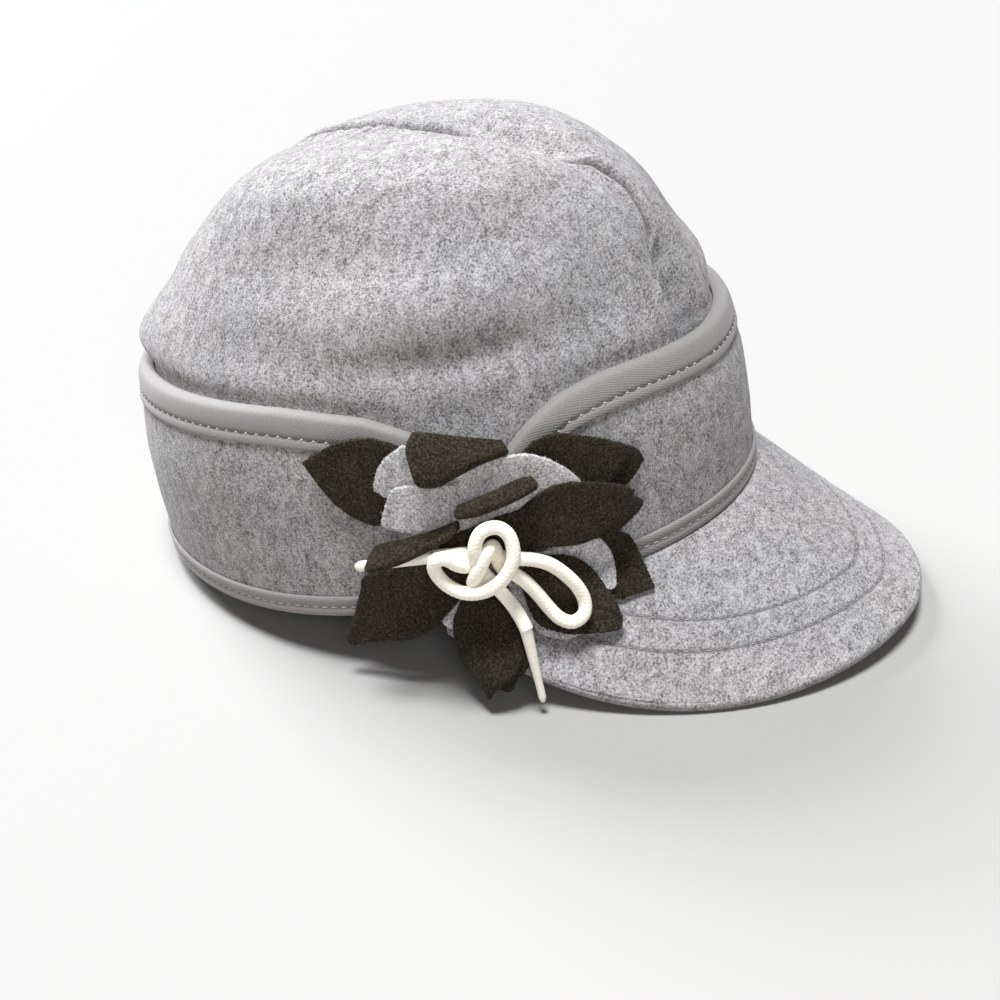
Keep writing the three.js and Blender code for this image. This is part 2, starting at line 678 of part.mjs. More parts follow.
// Half-width of a petal as a share of its widest, from root to tip
function petalShare(along, widest, tip) {
  if (along < widest) {
    return PETAL_ROOT_SHARE + (1 - PETAL_ROOT_SHARE) * Math.sin((Math.PI / 2) * (along / widest));
  }
  return Math.cos((Math.PI / 2) * ((along - widest) / (1 - widest))) ** tip;
}

// Felt sheet of even thickness over a surface of two shares, along from 0 to 1 and across from -1 to 1.
// Its direction out is taken short of the root and the tip, where the surface narrows.
function feltSheet(surface) {
  const loops = [];
  const step = 0.01;
  for (let i = 0; i <= PETAL_STEPS_LONG; i += 1) {
    const along = i / PETAL_STEPS_LONG;
    const inside = THREE.MathUtils.clamp(along, step, 1 - 4 * step);
    const face = [];
    const back = [];
    for (let j = 0; j <= PETAL_STEPS_WIDE; j += 1) {
      const across = -1 + (2 * j) / PETAL_STEPS_WIDE;
      const middle = surface(along, across);
      const long = surface(inside + step, across).sub(surface(inside - step, across));
      const wide = surface(inside, across + step).sub(surface(inside, across - step));
      const normal = long.cross(wide).normalize();
      face.push(middle.clone().addScaledVector(normal, PETAL_WALL / 2));
      back.unshift(middle.clone().addScaledVector(normal, -PETAL_WALL / 2));
    }
    loops.push([...face, ...back]);
  }
  return loftSolid(loops, false);
}

function flatPetal(row) {
  const length = Math.hypot(row.h1 - row.h0, row.k1 - row.k0);
  const sideH = -(row.k1 - row.k0) / length;
  const sideK = (row.h1 - row.h0) / length;
  const level = LAYER_FIRST + row.layer * LAYER_PITCH + PETAL_WALL / 2;
  return feltSheet((along, across) => {
    const share = petalShare(along, row.widest, row.tip);
    const half = Math.max((row.width / 2) * share, PETAL_TIP_HALF_WIDTH);
    const bow = row.bow * 4 * along * (1 - along);
    const sideways = across * half + bow;
    const h = THREE.MathUtils.lerp(row.h0, row.h1, along) + sideH * sideways;
    const k = THREE.MathUtils.lerp(row.k0, row.k1, along) + sideK * sideways;
    return wallPoint(h, k, level + liftOverPeak(h, k));
  });
}

// A petal folded to stand out from the band, its width changing evenly from root to tip
function standingPetal(row) {
  return feltSheet((along, across) => {
    const out = ((across + 1) / 2) * THREE.MathUtils.lerp(row.rootShare, row.tipShare, along);
    const h = THREE.MathUtils.lerp(row.h0, row.h1, along);
    const k = THREE.MathUtils.lerp(row.k0, row.k1, along);
    return wallPoint(
      h,
      k + THREE.MathUtils.lerp(row.inner.k, row.outer.k, out),
      THREE.MathUtils.lerp(row.inner.off, row.outer.off, out),
    );
  });
}

function laceCurve(route) {
  return new THREE.CatmullRomCurve3(route.map(([h, k, off]) => wallPoint(h, k, off)));
}

function laceTube(route) {
  const section = new THREE.Shape();
  for (let i = 0; i < LACE_SIDES; i += 1) {
    const turn = (i / LACE_SIDES) * FULL_TURN;
    const x = (LACE_DIAMETER / 2) * Math.cos(turn);
    const y = (LACE_DIAMETER / 2) * Math.sin(turn);
    if (i === 0) {
      section.moveTo(x, y);
    } else {
      section.lineTo(x, y);
    }
  }
  section.closePath();
  const path = laceCurve(route);
  const steps = Math.max(3, Math.round(path.getLength() / LACE_STEP));
  return new THREE.ExtrudeGeometry(section, { steps, extrudePath: path, bevelEnabled: false });
}

// Stiff tapered tip between two places
function laceTip(row) {
  const from = wallPoint(...row.from);
  const to = wallPoint(...row.to);
  const length = from.distanceTo(to);
  const geometry = new THREE.CylinderGeometry(row.endRadius, row.startRadius, length, LACE_SIDES);
  const turn = new THREE.Quaternion().setFromUnitVectors(
    new THREE.Vector3(0, 1, 0),
    to.clone().sub(from).normalize(),
  );
  geometry.applyQuaternion(turn);
  const middle = from.clone().lerp(to, 0.5);
  geometry.translate(middle.x, middle.y, middle.z);
  return geometry;
}

// Knot of the bow, a plain lump with its flat side to the band
function laceKnot() {
  const geometry = new THREE.SphereGeometry(1, KNOT_SIDES_ROUND, KNOT_SIDES_UP);
  const centre = wallPoint(...KNOT_CENTRE);
  const step = 1;
  const [h, k, off] = KNOT_CENTRE;
  const along = wallPoint(h + step, k, off).sub(wallPoint(h - step, k, off)).normalize();
  const out = wallPoint(h, k, off + step).sub(wallPoint(h, k, off)).normalize();
  const up = new THREE.Vector3().crossVectors(out, along);
  const [halfAlong, halfUp, halfOut] = KNOT_HALF_SIZE;
  const frame = new THREE.Matrix4().makeBasis(
    along.multiplyScalar(halfAlong),
    up.multiplyScalar(halfUp),
    out.multiplyScalar(halfOut),
  );
  geometry.applyMatrix4(frame);
  geometry.translate(centre.x, centre.y, centre.z);
  return geometry;
}

// Materials and the finished cap

const felt = new THREE.MeshStandardMaterial({ color: FELT_GREY, roughness: 1, metalness: 0 });
const tape = new THREE.MeshStandardMaterial({ color: TAPE_GREY, roughness: 0.85, metalness: 0 });
const darkFelt = new THREE.MeshStandardMaterial({ color: PETAL_DARK, roughness: 1, metalness: 0 });
const greyFelt = new THREE.MeshStandardMaterial({ color: PETAL_GREY, roughness: 1, metalness: 0 });
const lace = new THREE.MeshStandardMaterial({ color: LACE_CREAM, roughness: 0.7, metalness: 0 });

const cap = new THREE.Group();
cap.rotation.x = -REST_PITCH;
cap.position.set(REST_X, REST_Y, REST_LIFT);

function addPiece(name, geometry, material) {
  const mesh = new THREE.Mesh(geometry, material);
  mesh.name = name;
  cap.add(mesh);
}

addPiece('crown_half_right', crownHalf(-1), felt);
addPiece('crown_half_left', crownHalf(1), felt);
addPiece('earband', earband(), felt);
addPiece('binding_top', bindingTop(), tape);
addPiece('binding_bottom', bindingBottom(), tape);
addPiece('visor', visor(), felt);
for (const row of DARK_PETALS) {
  addPiece(`petal_dark_${row.name}`, flatPetal(row), darkFelt);
}
for (const row of GREY_PETALS) {
  addPiece(`petal_grey_${row.name}`, flatPetal(row), greyFelt);
}
for (const row of STANDING_PETALS) {
  addPiece(`petal_dark_${row.name}`, standingPetal(row), darkFelt);
}
addPiece('lace_loop_left', laceTube(LACE_LOOP_LEFT), lace);
addPiece('lace_loop_right', laceTube(LACE_LOOP_RIGHT), lace);
addPiece('lace_tail_left', laceTube(LACE_TAIL_LEFT), lace);
addPiece('lace_tail_right', laceTube(LACE_TAIL_RIGHT), lace);
addPiece('lace_knot', laceKnot(), lace);
for (const row of LACE_TIPS) {
  addPiece(row.name, laceTip(row), lace);
}

const model = new THREE.Group();
model.add(cap);

export default model;
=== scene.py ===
# Looks of the earflap cap: grey wool felt, bound edges, stitched peak, felt flower and lace bow.
# Shapes are worked out in millimetres about the centre of the cap's rim, front towards -Y, and then
# placed in the frame, in metres, tipped back as the cap rests on a table.

import math

import bpy
import numpy as np
from mathutils import Matrix, Vector


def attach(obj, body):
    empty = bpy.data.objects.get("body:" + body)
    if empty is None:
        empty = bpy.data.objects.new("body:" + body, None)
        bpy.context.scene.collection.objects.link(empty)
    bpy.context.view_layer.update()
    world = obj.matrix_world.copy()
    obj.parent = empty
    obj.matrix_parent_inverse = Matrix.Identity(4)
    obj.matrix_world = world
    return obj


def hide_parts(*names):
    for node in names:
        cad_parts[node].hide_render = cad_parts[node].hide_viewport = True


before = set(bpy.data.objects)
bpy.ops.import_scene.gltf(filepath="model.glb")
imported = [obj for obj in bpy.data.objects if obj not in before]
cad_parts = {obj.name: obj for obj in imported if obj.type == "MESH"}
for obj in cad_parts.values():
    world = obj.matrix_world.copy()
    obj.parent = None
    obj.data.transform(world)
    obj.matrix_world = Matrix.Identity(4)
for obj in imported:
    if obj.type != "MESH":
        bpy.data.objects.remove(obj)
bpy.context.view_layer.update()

# Driving dimensions, in millimetres
RIM_HALF_LENGTH = 105.1
RIM_HALF_WIDTH = 92.1
CROWN_WALL = 2.2
BAND_WALL = 2.6
TAPE_WALL = 0.8
GAP = 0.3
BOTTOM_TAPE_HEIGHT = 6.5
TOP_TAPE_HEIGHT = 9.0
TAPE_STACK = TAPE_WALL + GAP
RIM_WIDTH = BAND_WALL + CROWN_WALL + 2 * GAP + 2 * TAPE_STACK

# How the cap rests, and where the centre of its rim stands in the frame
REST_PITCH = math.radians(9.8)
REST_PLACE = np.array((6.5, 26.25, 17.45))
MM = 0.001

# Camera about the rim's centre: its place, and its bearing, height and roll in degrees
CAMERA_PLACE = (-409.4, -270.8, 210.0)
CAMERA_BEARING = -58.06
CAMERA_HEIGHT = 24.35
CAMERA_ROLL = -11.4
CAMERA_LENS = 55.08
CAMERA_SENSOR = 36.0

FULL_TURN = 2 * math.pi
SEED = 11

# Outer form of the folded-up band: half-lengths to the front and back, half-width
BAND_COLUMNS = ("z", "front", "back", "side")
BAND_SECTIONS = (
    (0, 104.0, 104.0, 91.0),
    (20, 104.6, 103.8, 91.6),
    (38, 104.4, 102.8, 91.4),
    (50, 102.3, 100.8, 89.9),
    (60, 99.3, 98.0, 87.6),
    (70, 96.0, 95.0, 85.0),
)

# The rim hangs a little lower on the wearer's right: by how much, round which angle and how far
RIM_SAG = 2.6
RIM_SAG_ANGLE = math.radians(100)
RIM_SAG_REACH = math.radians(27)
RIM_SAG_BELOW = 30

# Height of the band's upper edge round the cap, from the front round by the wearer's right
BAND_TOP_COLUMNS = ("angle", "z")
BAND_TOP = (
    (0, 54.4), (15, 55.9), (30, 56.9), (40, 54.7), (47, 49.1), (53, 41.4), (58, 38.4), (62, 44.9),
    (66, 52.9), (74, 58.5), (90, 62.2), (120, 63.1), (180, 61.4), (240, 62.4), (285, 59.4),
    (330, 55.4), (360, 54.4),
)

# Outer form of the crown, where the band does not hold it in
CROWN_COLUMNS = ("z", "front", "back", "side")
CROWN_SECTIONS = (
    (1.1, 101.1, 101.1, 88.1),
    (22, 100.4, 99.4, 88.2),
    (42, 97.6, 96.6, 86.6),
    (56, 96.2, 94.8, 84.4),
    (65, 95.0, 95.6, 83.5),
    (76, 91.8, 86.7, 78.9),
    (87, 87.9, 78.0, 71.2),
    (96.5, 81.4, 71.2, 64.8),
    (104.5, 72.3, 61.5, 60.4),
    (111.5, 62.7, 52.0, 56.2),
    (117.7, 50.4, 40.9, 50.2),
    (121.9, 34.0, 26.7, 35.3),
    (124, 0, 0, 0),
)
CROWN_SQUARENESS = 2.2
CROWN_SQUARE_FROM = 62
CROWN_SQUARE_TO = 92

# The crown presses against the inner face of the upper tape, within this reach of the tape's edge
CROWN_TAPE_CLEARANCE = 0.4
CROWN_INSIDE_BAND = BAND_WALL + GAP + TAPE_WALL + CROWN_TAPE_CLEARANCE
CROWN_PRESS_REACH = 7
CROWN_TUCK_DEPTH = 14

# Seam from front to back: how deep the felt is drawn in, from the front rim over the top to the back rim,
# and how clearly its groove shows, in depth and in painted shade
SEAM_COLUMNS = ("along", "depth")
SEAM_DEPTH = (
    (0, 0), (0.06, 0), (0.11, 8), (0.16, 8.5), (0.2, 7), (0.27, 2), (0.34, 2), (0.43, 6.5), (0.5, 2),
    (0.6, 1.6), (0.78, 1.5), (1, 0),
)
SEAM_HALF_WIDTH = 8
GROOVE_COLUMNS = ("along", "share")
SEAM_GROOVE_SHARE = (
    (0, 1), (0.3, 1), (0.345, 0.75), (0.375, 0.12), (0.425, 0.12), (0.445, 0.9), (0.57, 1), (0.68, 0.35),
    (1, 0.35),
)
SEAM_GROOVE_DEPTH = 3.0

# How far the hand-sewn seam wanders from the middle, towards the wearer's left, along its way
WANDER_COLUMNS = ("along", "x")
SEAM_WANDER = (
    (0, 0), (0.1, -4), (0.15, -8), (0.185, -8), (0.215, -3.5), (0.25, 2), (0.31, 6), (0.34, 5), (0.37, -1),
    (0.42, -8), (0.455, -2), (0.48, 2.6), (0.51, 5.4), (0.55, 6.7), (0.65, 5), (0.8, 2), (1, 0),
)
SEAM_GROOVE_HALF_WIDTH = 1.1
# Half-width of the painted shade along the seam
PAINTED_SEAM_SHADE_HALF_WIDTH = 1.35
SEAM_LIP_HEIGHT = 0.7
SEAM_LIP_PLACE = 3.2
SEAM_LIP_WIDTH = 1.5

# Puckers across the seam on top: where they are, how far they spread, how far apart and how high
PUCKER_Y = 4
PUCKER_REACH_ALONG = 13
PUCKER_REACH_ACROSS = 7
PUCKER_PITCH = 5.6
PUCKER_HEIGHT = 0.55
PUCKER_ABOVE = 105
PUCKER_SLANT = 0.3

# Dents and swellings of the felt: place by angle and height, reach round and up, mm in is positive
DENT_COLUMNS = ("angle", "z", "reach_round", "reach_up", "depth")
DENTS = (
    (60, 71, 34, 5.5, 2.6),
    (62, 85, 42, 9, -3.4),
    (22, 84, 13, 16, 3.2),
    (36, 108, 16, 7, -2.2),
    (100, 76, 26, 8, 1.6),
    (150, 80, 30, 10, -1.6),
    (150, 68, 30, 12, -4.8),
    (335, 84, 16, 14, 5),
    (326, 66, 26, 12, -3.3),
    (285, 74, 34, 7, 2.0),
    (275, 88, 40, 9, -2.4),
)

# Peak
VISOR_CORNER_ANGLE = math.radians(65)
VISOR_HALF_WIDTH = 88.7
VISOR_CORNER_Y = -44.2
VISOR_REACH = 113.6
VISOR_SIDE_POWER = 1.06
VISOR_FRONT_POWER = 0.93
VISOR_SLOPE = 0.688
VISOR_BEND = 0.0058
VISOR_THICKNESS = 4.4
VISOR_ROOT_UNDER_RIM = 6
VISOR_STITCH_ROWS = (13.5, 23.2)
VISOR_ROW_SPREAD = 3.5

# Flower
FLOWER_ANGLE = math.radians(58.5)
WALL_HALF_LENGTH = 105.0
WALL_HALF_WIDTH = 92.4
PETAL_WALL = 1.4
LAYER_FIRST = 0.6
LAYER_PITCH = PETAL_WALL + GAP
LIFT_BELOW = 5
LIFT_SLOPE = 0.5
LIFT_MOST = 10
LIFT_FROM_H = -14
LIFT_FULL_H = -2

# Lace
LACE_DIAMETER = 3.9


def columns(names, rows):
    """A table's columns by name."""
    return dict(zip(names, np.array(rows, float).T))


def smoothstep(value, low, high):
    t = np.clip((value - low) / (high - low), 0, 1)
    return t * t * (3 - 2 * t)


def eased(here, slope_here, there, slope_there, t):
    """Smooth value between two, with a slope at each."""
    return (
        (2 * t**3 - 3 * t**2 + 1) * here + (t**3 - 2 * t**2 + t) * slope_here
        + (3 * t**2 - 2 * t**3) * there + (t**3 - t**2) * slope_there
    )


def catmull_rom(four, t):
    """Smooth value between the middle two of four values."""
    before, here, there, beyond = four
    return eased(here, (there - before) / 2, there, (beyond - here) / 2, t)


def smooth_rows(values, place):
    """Values between a table's rows, smooth through each row."""
    place = np.asarray(place, float)
    last = len(values) - 1
    row = np.clip(np.floor(place).astype(int), 0, last - 1)
    four = [values[np.clip(row + shift, 0, last)] for shift in (-1, 0, 1, 2)]
    return catmull_rom(four, place - row)


def smooth_look_up(known, wanted, value):
    """Value of one column at a value of another, eased from row to row."""
    row = np.clip(np.searchsorted(known, value) - 1, 0, len(known) - 2)
    share = smoothstep(value, known[row], known[row + 1])
    return wanted[row] + (wanted[row + 1] - wanted[row]) * share


BAND = columns(BAND_COLUMNS, BAND_SECTIONS)
TOP = columns(BAND_TOP_COLUMNS, BAND_TOP)
CROWN = columns(CROWN_COLUMNS, CROWN_SECTIONS)
SEAM = columns(SEAM_COLUMNS, SEAM_DEPTH)
GROOVE = columns(GROOVE_COLUMNS, SEAM_GROOVE_SHARE)
WANDER = columns(WANDER_COLUMNS, SEAM_WANDER)


def unit(vectors):
    return vectors / np.maximum(np.linalg.norm(vectors, axis=-1, keepdims=True), 1e-9)


def distance_along(line):
    """How far along a line each of its points lies."""
    return np.concatenate([[0], np.cumsum(np.linalg.norm(np.diff(line, axis=0), axis=1))])


def sampled(wanted, known, values):
    """Rows of values at wanted distances, from those at known distances."""
    return np.stack([np.interp(wanted, known, column) for column in values.T], 1)


def tipped(points):
    """Points or directions about the rim's centre, tipped back as the cap rests."""
    x, y, z = np.moveaxis(np.asarray(points, float), -1, 0)
    cosine = math.cos(REST_PITCH)
    sine = math.sin(REST_PITCH)
    return np.stack([x, y * cosine + z * sine, z * cosine - y * sine], -1)


def to_frame(points):
    """Points about the rim's centre, in millimetres, as they rest in the frame, in metres."""
    placed = tipped(points) + REST_PLACE
    placed[..., 2] = np.maximum(placed[..., 2], 0)
    return placed * MM


def towards(bearing, height):
    """Direction of a bearing, from the front round by the wearer's left, and a height, in degrees."""
    round_way = math.radians(bearing)
    up_way = math.radians(height)
    level = math.cos(up_way)
    return Vector((math.sin(round_way) * level, -math.cos(round_way) * level, math.sin(up_way)))


def add_object(name, data):
    thing = bpy.data.objects.new(name, data)
    bpy.context.scene.collection.objects.link(thing)
    return thing


# Meshes

# Attribute that carries painted shade in seams and stitch grooves
PAINTED_SHADE_ATTRIBUTE = "painted_groove_shade"


def make_object(name, points, faces, material):
    mesh = bpy.data.meshes.new(name)
    mesh.from_pydata(points.tolist(), [], faces)
    mesh.polygons.foreach_set("use_smooth", [True] * len(mesh.polygons))
    mesh.materials.append(material)
    mesh.update()
    piece = add_object(name, mesh)
    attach(piece, "root")
    return piece


def set_painted_shade(piece, values):
    """How far each corner of the mesh lies in a seam or a row of stitches, for its material to darken there
    with painted shade.
    """
    mesh = piece.data
    shade = np.zeros(len(mesh.vertices))
    shade[:len(values)] = values
    mesh.attributes.new(PAINTED_SHADE_ATTRIBUTE, "FLOAT", "POINT").data.foreach_set("value", shade)


def grid_faces(rows, cols, close_rows, close_cols, first=0):
    """Quads of a grid of points stored row by row."""
    i = np.arange(rows if close_rows else rows - 1)
    j = np.arange(cols if close_cols else cols - 1)
    i, j = np.meshgrid(i, j, indexing="ij")
    i2 = (i + 1) % rows
    j2 = (j + 1) % cols
    corners = np.stack([i * cols + j, i * cols + j2, i2 * cols + j2, i2 * cols + j], -1)
    return (corners.reshape(-1, 4) + first).tolist()


def outward(points, faces):
    """The faces turned to point out of the closed mesh."""
    p = np.asarray(points)
    volume = 0.0
    for size in sorted({len(face) for face in faces}):
        corners = p[np.array([face for face in faces if len(face) == size])]
        for k in range(1, size - 1):
            volume += np.einsum("ij,ij->", corners[:, 0], np.cross(corners[:, k], corners[:, k + 1]))
    return faces if volume > 0 else [face[::-1] for face in faces]


def capped_loft(sections):
    """Points and faces of a closed solid through sections, with a flat end on the first and last."""
    rows, cols, _ = sections.shape
    faces = grid_faces(rows, cols, False, True)
    for row in (0, rows - 1):
        faces.append([row * cols + j for j in range(cols)])
    points = sections.reshape(-1, 3)
    return points, outward(points, faces)


# Crown


def crown_plain(turn, up):
    """Crown before its seam and dents. Turn runs from the front round by the wearer's right."""
    place = up * (len(CROWN_SECTIONS) - 1)
    z = smooth_rows(CROWN["z"], place)
    square = smoothstep(z, CROWN_SQUARE_FROM, CROWN_SQUARE_TO)
    power = 2 / (2 + (CROWN_SQUARENESS - 2) * square)
    cosine = np.cos(turn)
    sine = np.sin(turn)
    length = np.where(cosine > 0, smooth_rows(CROWN["front"], place), smooth_rows(CROWN["back"], place))
    side = smooth_rows(CROWN["side"], place)
    return np.stack([
        -side * np.sign(sine) * np.abs(sine) ** power,
        -length * np.sign(cosine) * np.abs(cosine) ** power,
        z,
    ], -1)


def crown_normal(turn, up):
    step = 0.006
    low = np.minimum(up, 1 - 2 * step)
    across = crown_plain(turn + step, low) - crown_plain(turn - step, low)
    along = crown_plain(turn, low + step) - crown_plain(turn, np.maximum(low - step, 0))
    return unit(np.cross(along, across))


def seam_share(turn, up):
    """How far along the seam a place is, from the front rim over the top to the back rim."""
    folded = np.minimum(turn % FULL_TURN, -turn % FULL_TURN)
    return np.where(folded < math.pi / 2, up / 2, 1 - up / 2)


def from_seam(point, along):
    return np.abs(point[..., 0] - smooth_look_up(WANDER["along"], WANDER["x"], along))


# Painted shade along the seam's groove, for the felt to darken
def painted_seam_shade(point, turn, up):
    along = seam_share(turn, up)
    clear = smooth_look_up(GROOVE["along"], GROOVE["share"], along)
    return clear * np.exp(-((from_seam(point, along) / PAINTED_SEAM_SHADE_HALF_WIDTH) ** 2))


def seam_depth(point, turn, up):
    along = seam_share(turn, up)
    away = from_seam(point, along)
    across = point[..., 0] / SEAM_HALF_WIDTH
    wide = smooth_look_up(SEAM["along"], SEAM["depth"], along) * np.exp(-(across**2))
    clear = smooth_look_up(GROOVE["along"], GROOVE["share"], along)
    groove = SEAM_GROOVE_DEPTH * np.exp(-((away / SEAM_GROOVE_HALF_WIDTH) ** 2))
    lip = SEAM_LIP_HEIGHT * np.exp(-(((away - SEAM_LIP_PLACE) / SEAM_LIP_WIDTH) ** 2))
    pucker = (
        PUCKER_HEIGHT * np.cos(FULL_TURN * (point[..., 1] + PUCKER_SLANT * point[..., 0]) / PUCKER_PITCH)
        * np.exp(-((point[..., 0] / PUCKER_REACH_ACROSS) ** 2))
        * np.exp(-(((point[..., 1] - PUCKER_Y) / PUCKER_REACH_ALONG) ** 2))
        * (point[..., 2] > PUCKER_ABOVE)
    )
    return wide, clear * (groove - lip) + pucker


def dent_depth(point, turn):
    depth = np.zeros(turn.shape)
    for row in DENTS:
        dent = dict(zip(DENT_COLUMNS, row))
        away = (turn - math.radians(dent["angle"]) + math.pi) % FULL_TURN - math.pi
        round_way = away * np.hypot(point[..., 0], point[..., 1]) / dent["reach_round"]
        high = (point[..., 2] - dent["z"]) / dent["reach_up"]
        depth += dent["depth"] * np.exp(-(round_way**2) - high**2)
    return depth


def felt_waves(point):
    """Slow unevenness of pressed felt, a few tenths of a millimetre."""
    x, y, z = point[..., 0], point[..., 1], point[..., 2]
    return (
        0.34 * np.sin(x / 17 + 1.3 * np.sin(z / 23) + 0.4)
        + 0.30 * np.sin(y / 14 + z / 29 + 2.1)
        + 0.18 * np.sin(x / 8.5 - z / 9.5 + 1.2 * np.sin(y / 19))
    )


def press_to_tape(point, turn):
    """Points of the crown moved level with themselves, to press against the upper tape."""
    edge = band_top(turn) + TAPE_STACK
    height = np.minimum(point[..., 2], edge)
    front = np.interp(height, BAND["z"], BAND["front"])
    back = np.interp(height, BAND["z"], BAND["back"])
    length = np.where(point[..., 1] < 0, front, back) - CROWN_INSIDE_BAND
    side = np.interp(height, BAND["z"], BAND["side"]) - CROWN_INSIDE_BAND
    reached = np.maximum(np.hypot(point[..., 0] / side, point[..., 1] / length), 1e-6)
    below = edge - point[..., 2]
    tucked = (below > 0) & (below < CROWN_TUCK_DEPTH)
    held = np.where(tucked, np.minimum(reached, 1), reached)
    share = np.exp(-((below / CROWN_PRESS_REACH) ** 2))
    scale = (held + (1 - held) * share) / reached
    return point * np.stack([scale, scale, np.ones_like(scale)], -1)


CROWN_TURNS = 300
CROWN_RISES = 150
CROWN_RISE_POWER = 1.5
CROWN_TURN_BUNCHING = 0.42
CROWN_WAVES_FROM_Z = 60
CROWN_WAVES_FULL_Z = 76
CROWN_INSIDE_RELIEF = 0.4


def crown_shell():
    even = np.arange(CROWN_TURNS) / CROWN_TURNS * FULL_TURN
    turns = even - CROWN_TURN_BUNCHING * np.sin(2 * even)
    ups = 1 - (1 - np.linspace(0, 1, CROWN_RISES + 1)[:-1]) ** CROWN_RISE_POWER
    turn, up = np.meshgrid(turns, ups, indexing="ij")
    plain = crown_plain(turn, up)
    normal = crown_normal(turn, up)
    wide, narrow = seam_depth(plain, turn, up)
    waves = felt_waves(plain) * smoothstep(plain[..., 2], CROWN_WAVES_FROM_Z, CROWN_WAVES_FULL_Z)
    pressed = press_to_tape(plain - normal * (dent_depth(plain, turn) - waves)[..., None], turn)
    outer = pressed - normal * (wide + narrow)[..., None]
    inner = pressed - normal * (wide + CROWN_WALL + CROWN_INSIDE_RELIEF * narrow)[..., None]
    top = np.array([[0.0, 0.0, CROWN_SECTIONS[-1][0]]])
    top[0, 2] -= sum(depth[0] for depth in seam_depth(top, np.zeros(1), np.ones(1)))
    rows, cols = turn.shape
    count = rows * cols
    points = np.concatenate([outer.reshape(-1, 3), inner.reshape(-1, 3), top, top - [[0, 0, CROWN_WALL]]])
    faces = grid_faces(rows, cols, True, False)
    faces += [face[::-1] for face in grid_faces(rows, cols, True, False, count)]
    for i in range(rows):
        j = (i + 1) % rows
        rim_here, rim_next = i * cols, j * cols
        faces.append([rim_here, rim_next, rim_next + count, rim_here + count])
        top_here, top_next = i * cols + cols - 1, j * cols + cols - 1
        faces.append([top_here, 2 * count, top_next])
        faces.append([top_here + count, top_next + count, 2 * count + 1])
    return points, outward(points, faces), painted_seam_shade(plain, turn, up).reshape(-1)


# Band and tape


def band_point(turn, z, inset):
    front = np.interp(z, BAND["z"], BAND["front"])
    back = np.interp(z, BAND["z"], BAND["back"])
    side = np.interp(z, BAND["z"], BAND["side"]) - inset
    length = np.where(np.cos(turn) > 0, front, back) - inset
    round_way = (turn - RIM_SAG_ANGLE + math.pi) % FULL_TURN - math.pi
    sag = RIM_SAG * np.exp(-((round_way / RIM_SAG_REACH) ** 2)) * (1 - smoothstep(z, 0, RIM_SAG_BELOW))
    return np.stack([-side * np.sin(turn), -length * np.cos(turn), z - sag], -1)


def band_top(turn):
    degrees = np.degrees(turn) % 360
    row = np.clip(np.searchsorted(TOP["angle"], degrees, side="right") - 1, 0, len(BAND_TOP) - 2)
    share = (degrees - TOP["angle"][row]) / (TOP["angle"][row + 1] - TOP["angle"][row])
    return smooth_rows(TOP["z"], row + share)


def slanted_tape_height(turn):
    step = 0.02
    rise = band_top(turn + step) - band_top(turn - step)
    run = 2 * step * np.hypot(RIM_HALF_WIDTH * np.cos(turn), RIM_HALF_LENGTH * np.sin(turn))
    return TOP_TAPE_HEIGHT * np.hypot(1, rise / run)


RING_TURNS = 420
RING_BUNCHING = 0.26


def ring_turns(count):
    even = np.arange(count) / count * FULL_TURN
    away = even - FLOWER_ANGLE
    return even - RING_BUNCHING * np.sin(away) * np.exp(np.cos(away) - 1)


def ring_solid(name, turns, section, material):
    """A closed ring through a section that gives points for an array of turns."""
    loops = section(turns)
    rows, cols, _ = loops.shape
    points = loops.reshape(-1, 3)
    faces = outward(points, grid_faces(rows, cols, True, True))
    return make_object(name, to_frame(points), faces, material), points, faces


BAND_HEIGHTS = 18
BAND_SWELL = 0.35
BAND_WAVE_SHARE = 0.5


def earband_section(turns):
    top = band_top(turns)
    shares = np.linspace(0, 1, BAND_HEIGHTS)
    z = TAPE_STACK + (top[:, None] - TAPE_STACK) * shares
    turn = np.repeat(turns[:, None], BAND_HEIGHTS, 1)
    outer = band_point(turn, z, 0)
    swell = (BAND_SWELL + BAND_WAVE_SHARE * felt_waves(outer)) * np.sin(math.pi * shares)
    outer = band_point(turn, z, -swell)
    inner = band_point(turn, z, BAND_WALL)[:, ::-1]
    return np.concatenate([outer, inner], 1)


# Outer face of the tape: share of its height, and how far it stands out, with a dip at the stitches
TOP_TAPE_FACE = (
    (0.0, 0.35), (0.0, 0.8), (0.03, 1.0), (0.1, 1.12), (0.2, 1.15), (0.27, 1.0), (0.31, 0.78),
    (0.34, 0.6), (0.37, 0.78), (0.42, 1.05), (0.5, 1.22), (0.62, 1.34), (0.76, 1.38), (0.88, 1.33),
    (0.97, 1.22),
)
BOTTOM_TAPE_FACE = (
    (1.0, 0.35), (1.0, 0.85), (0.97, 1.1), (0.88, 1.3), (0.74, 1.32), (0.62, 1.15), (0.54, 0.85),
    (0.49, 0.65), (0.44, 0.85), (0.36, 1.12), (0.24, 1.25), (0.14, 1.15),
)
TOP_TAPE_STITCH_SHARE = 0.34
TOP_TAPE_ROLL = 1.2
TOP_EDGE_ARC = 7
TOP_TAPE_BEVEL = 0.3
TOP_TAPE_INNER_RISE = 0.25


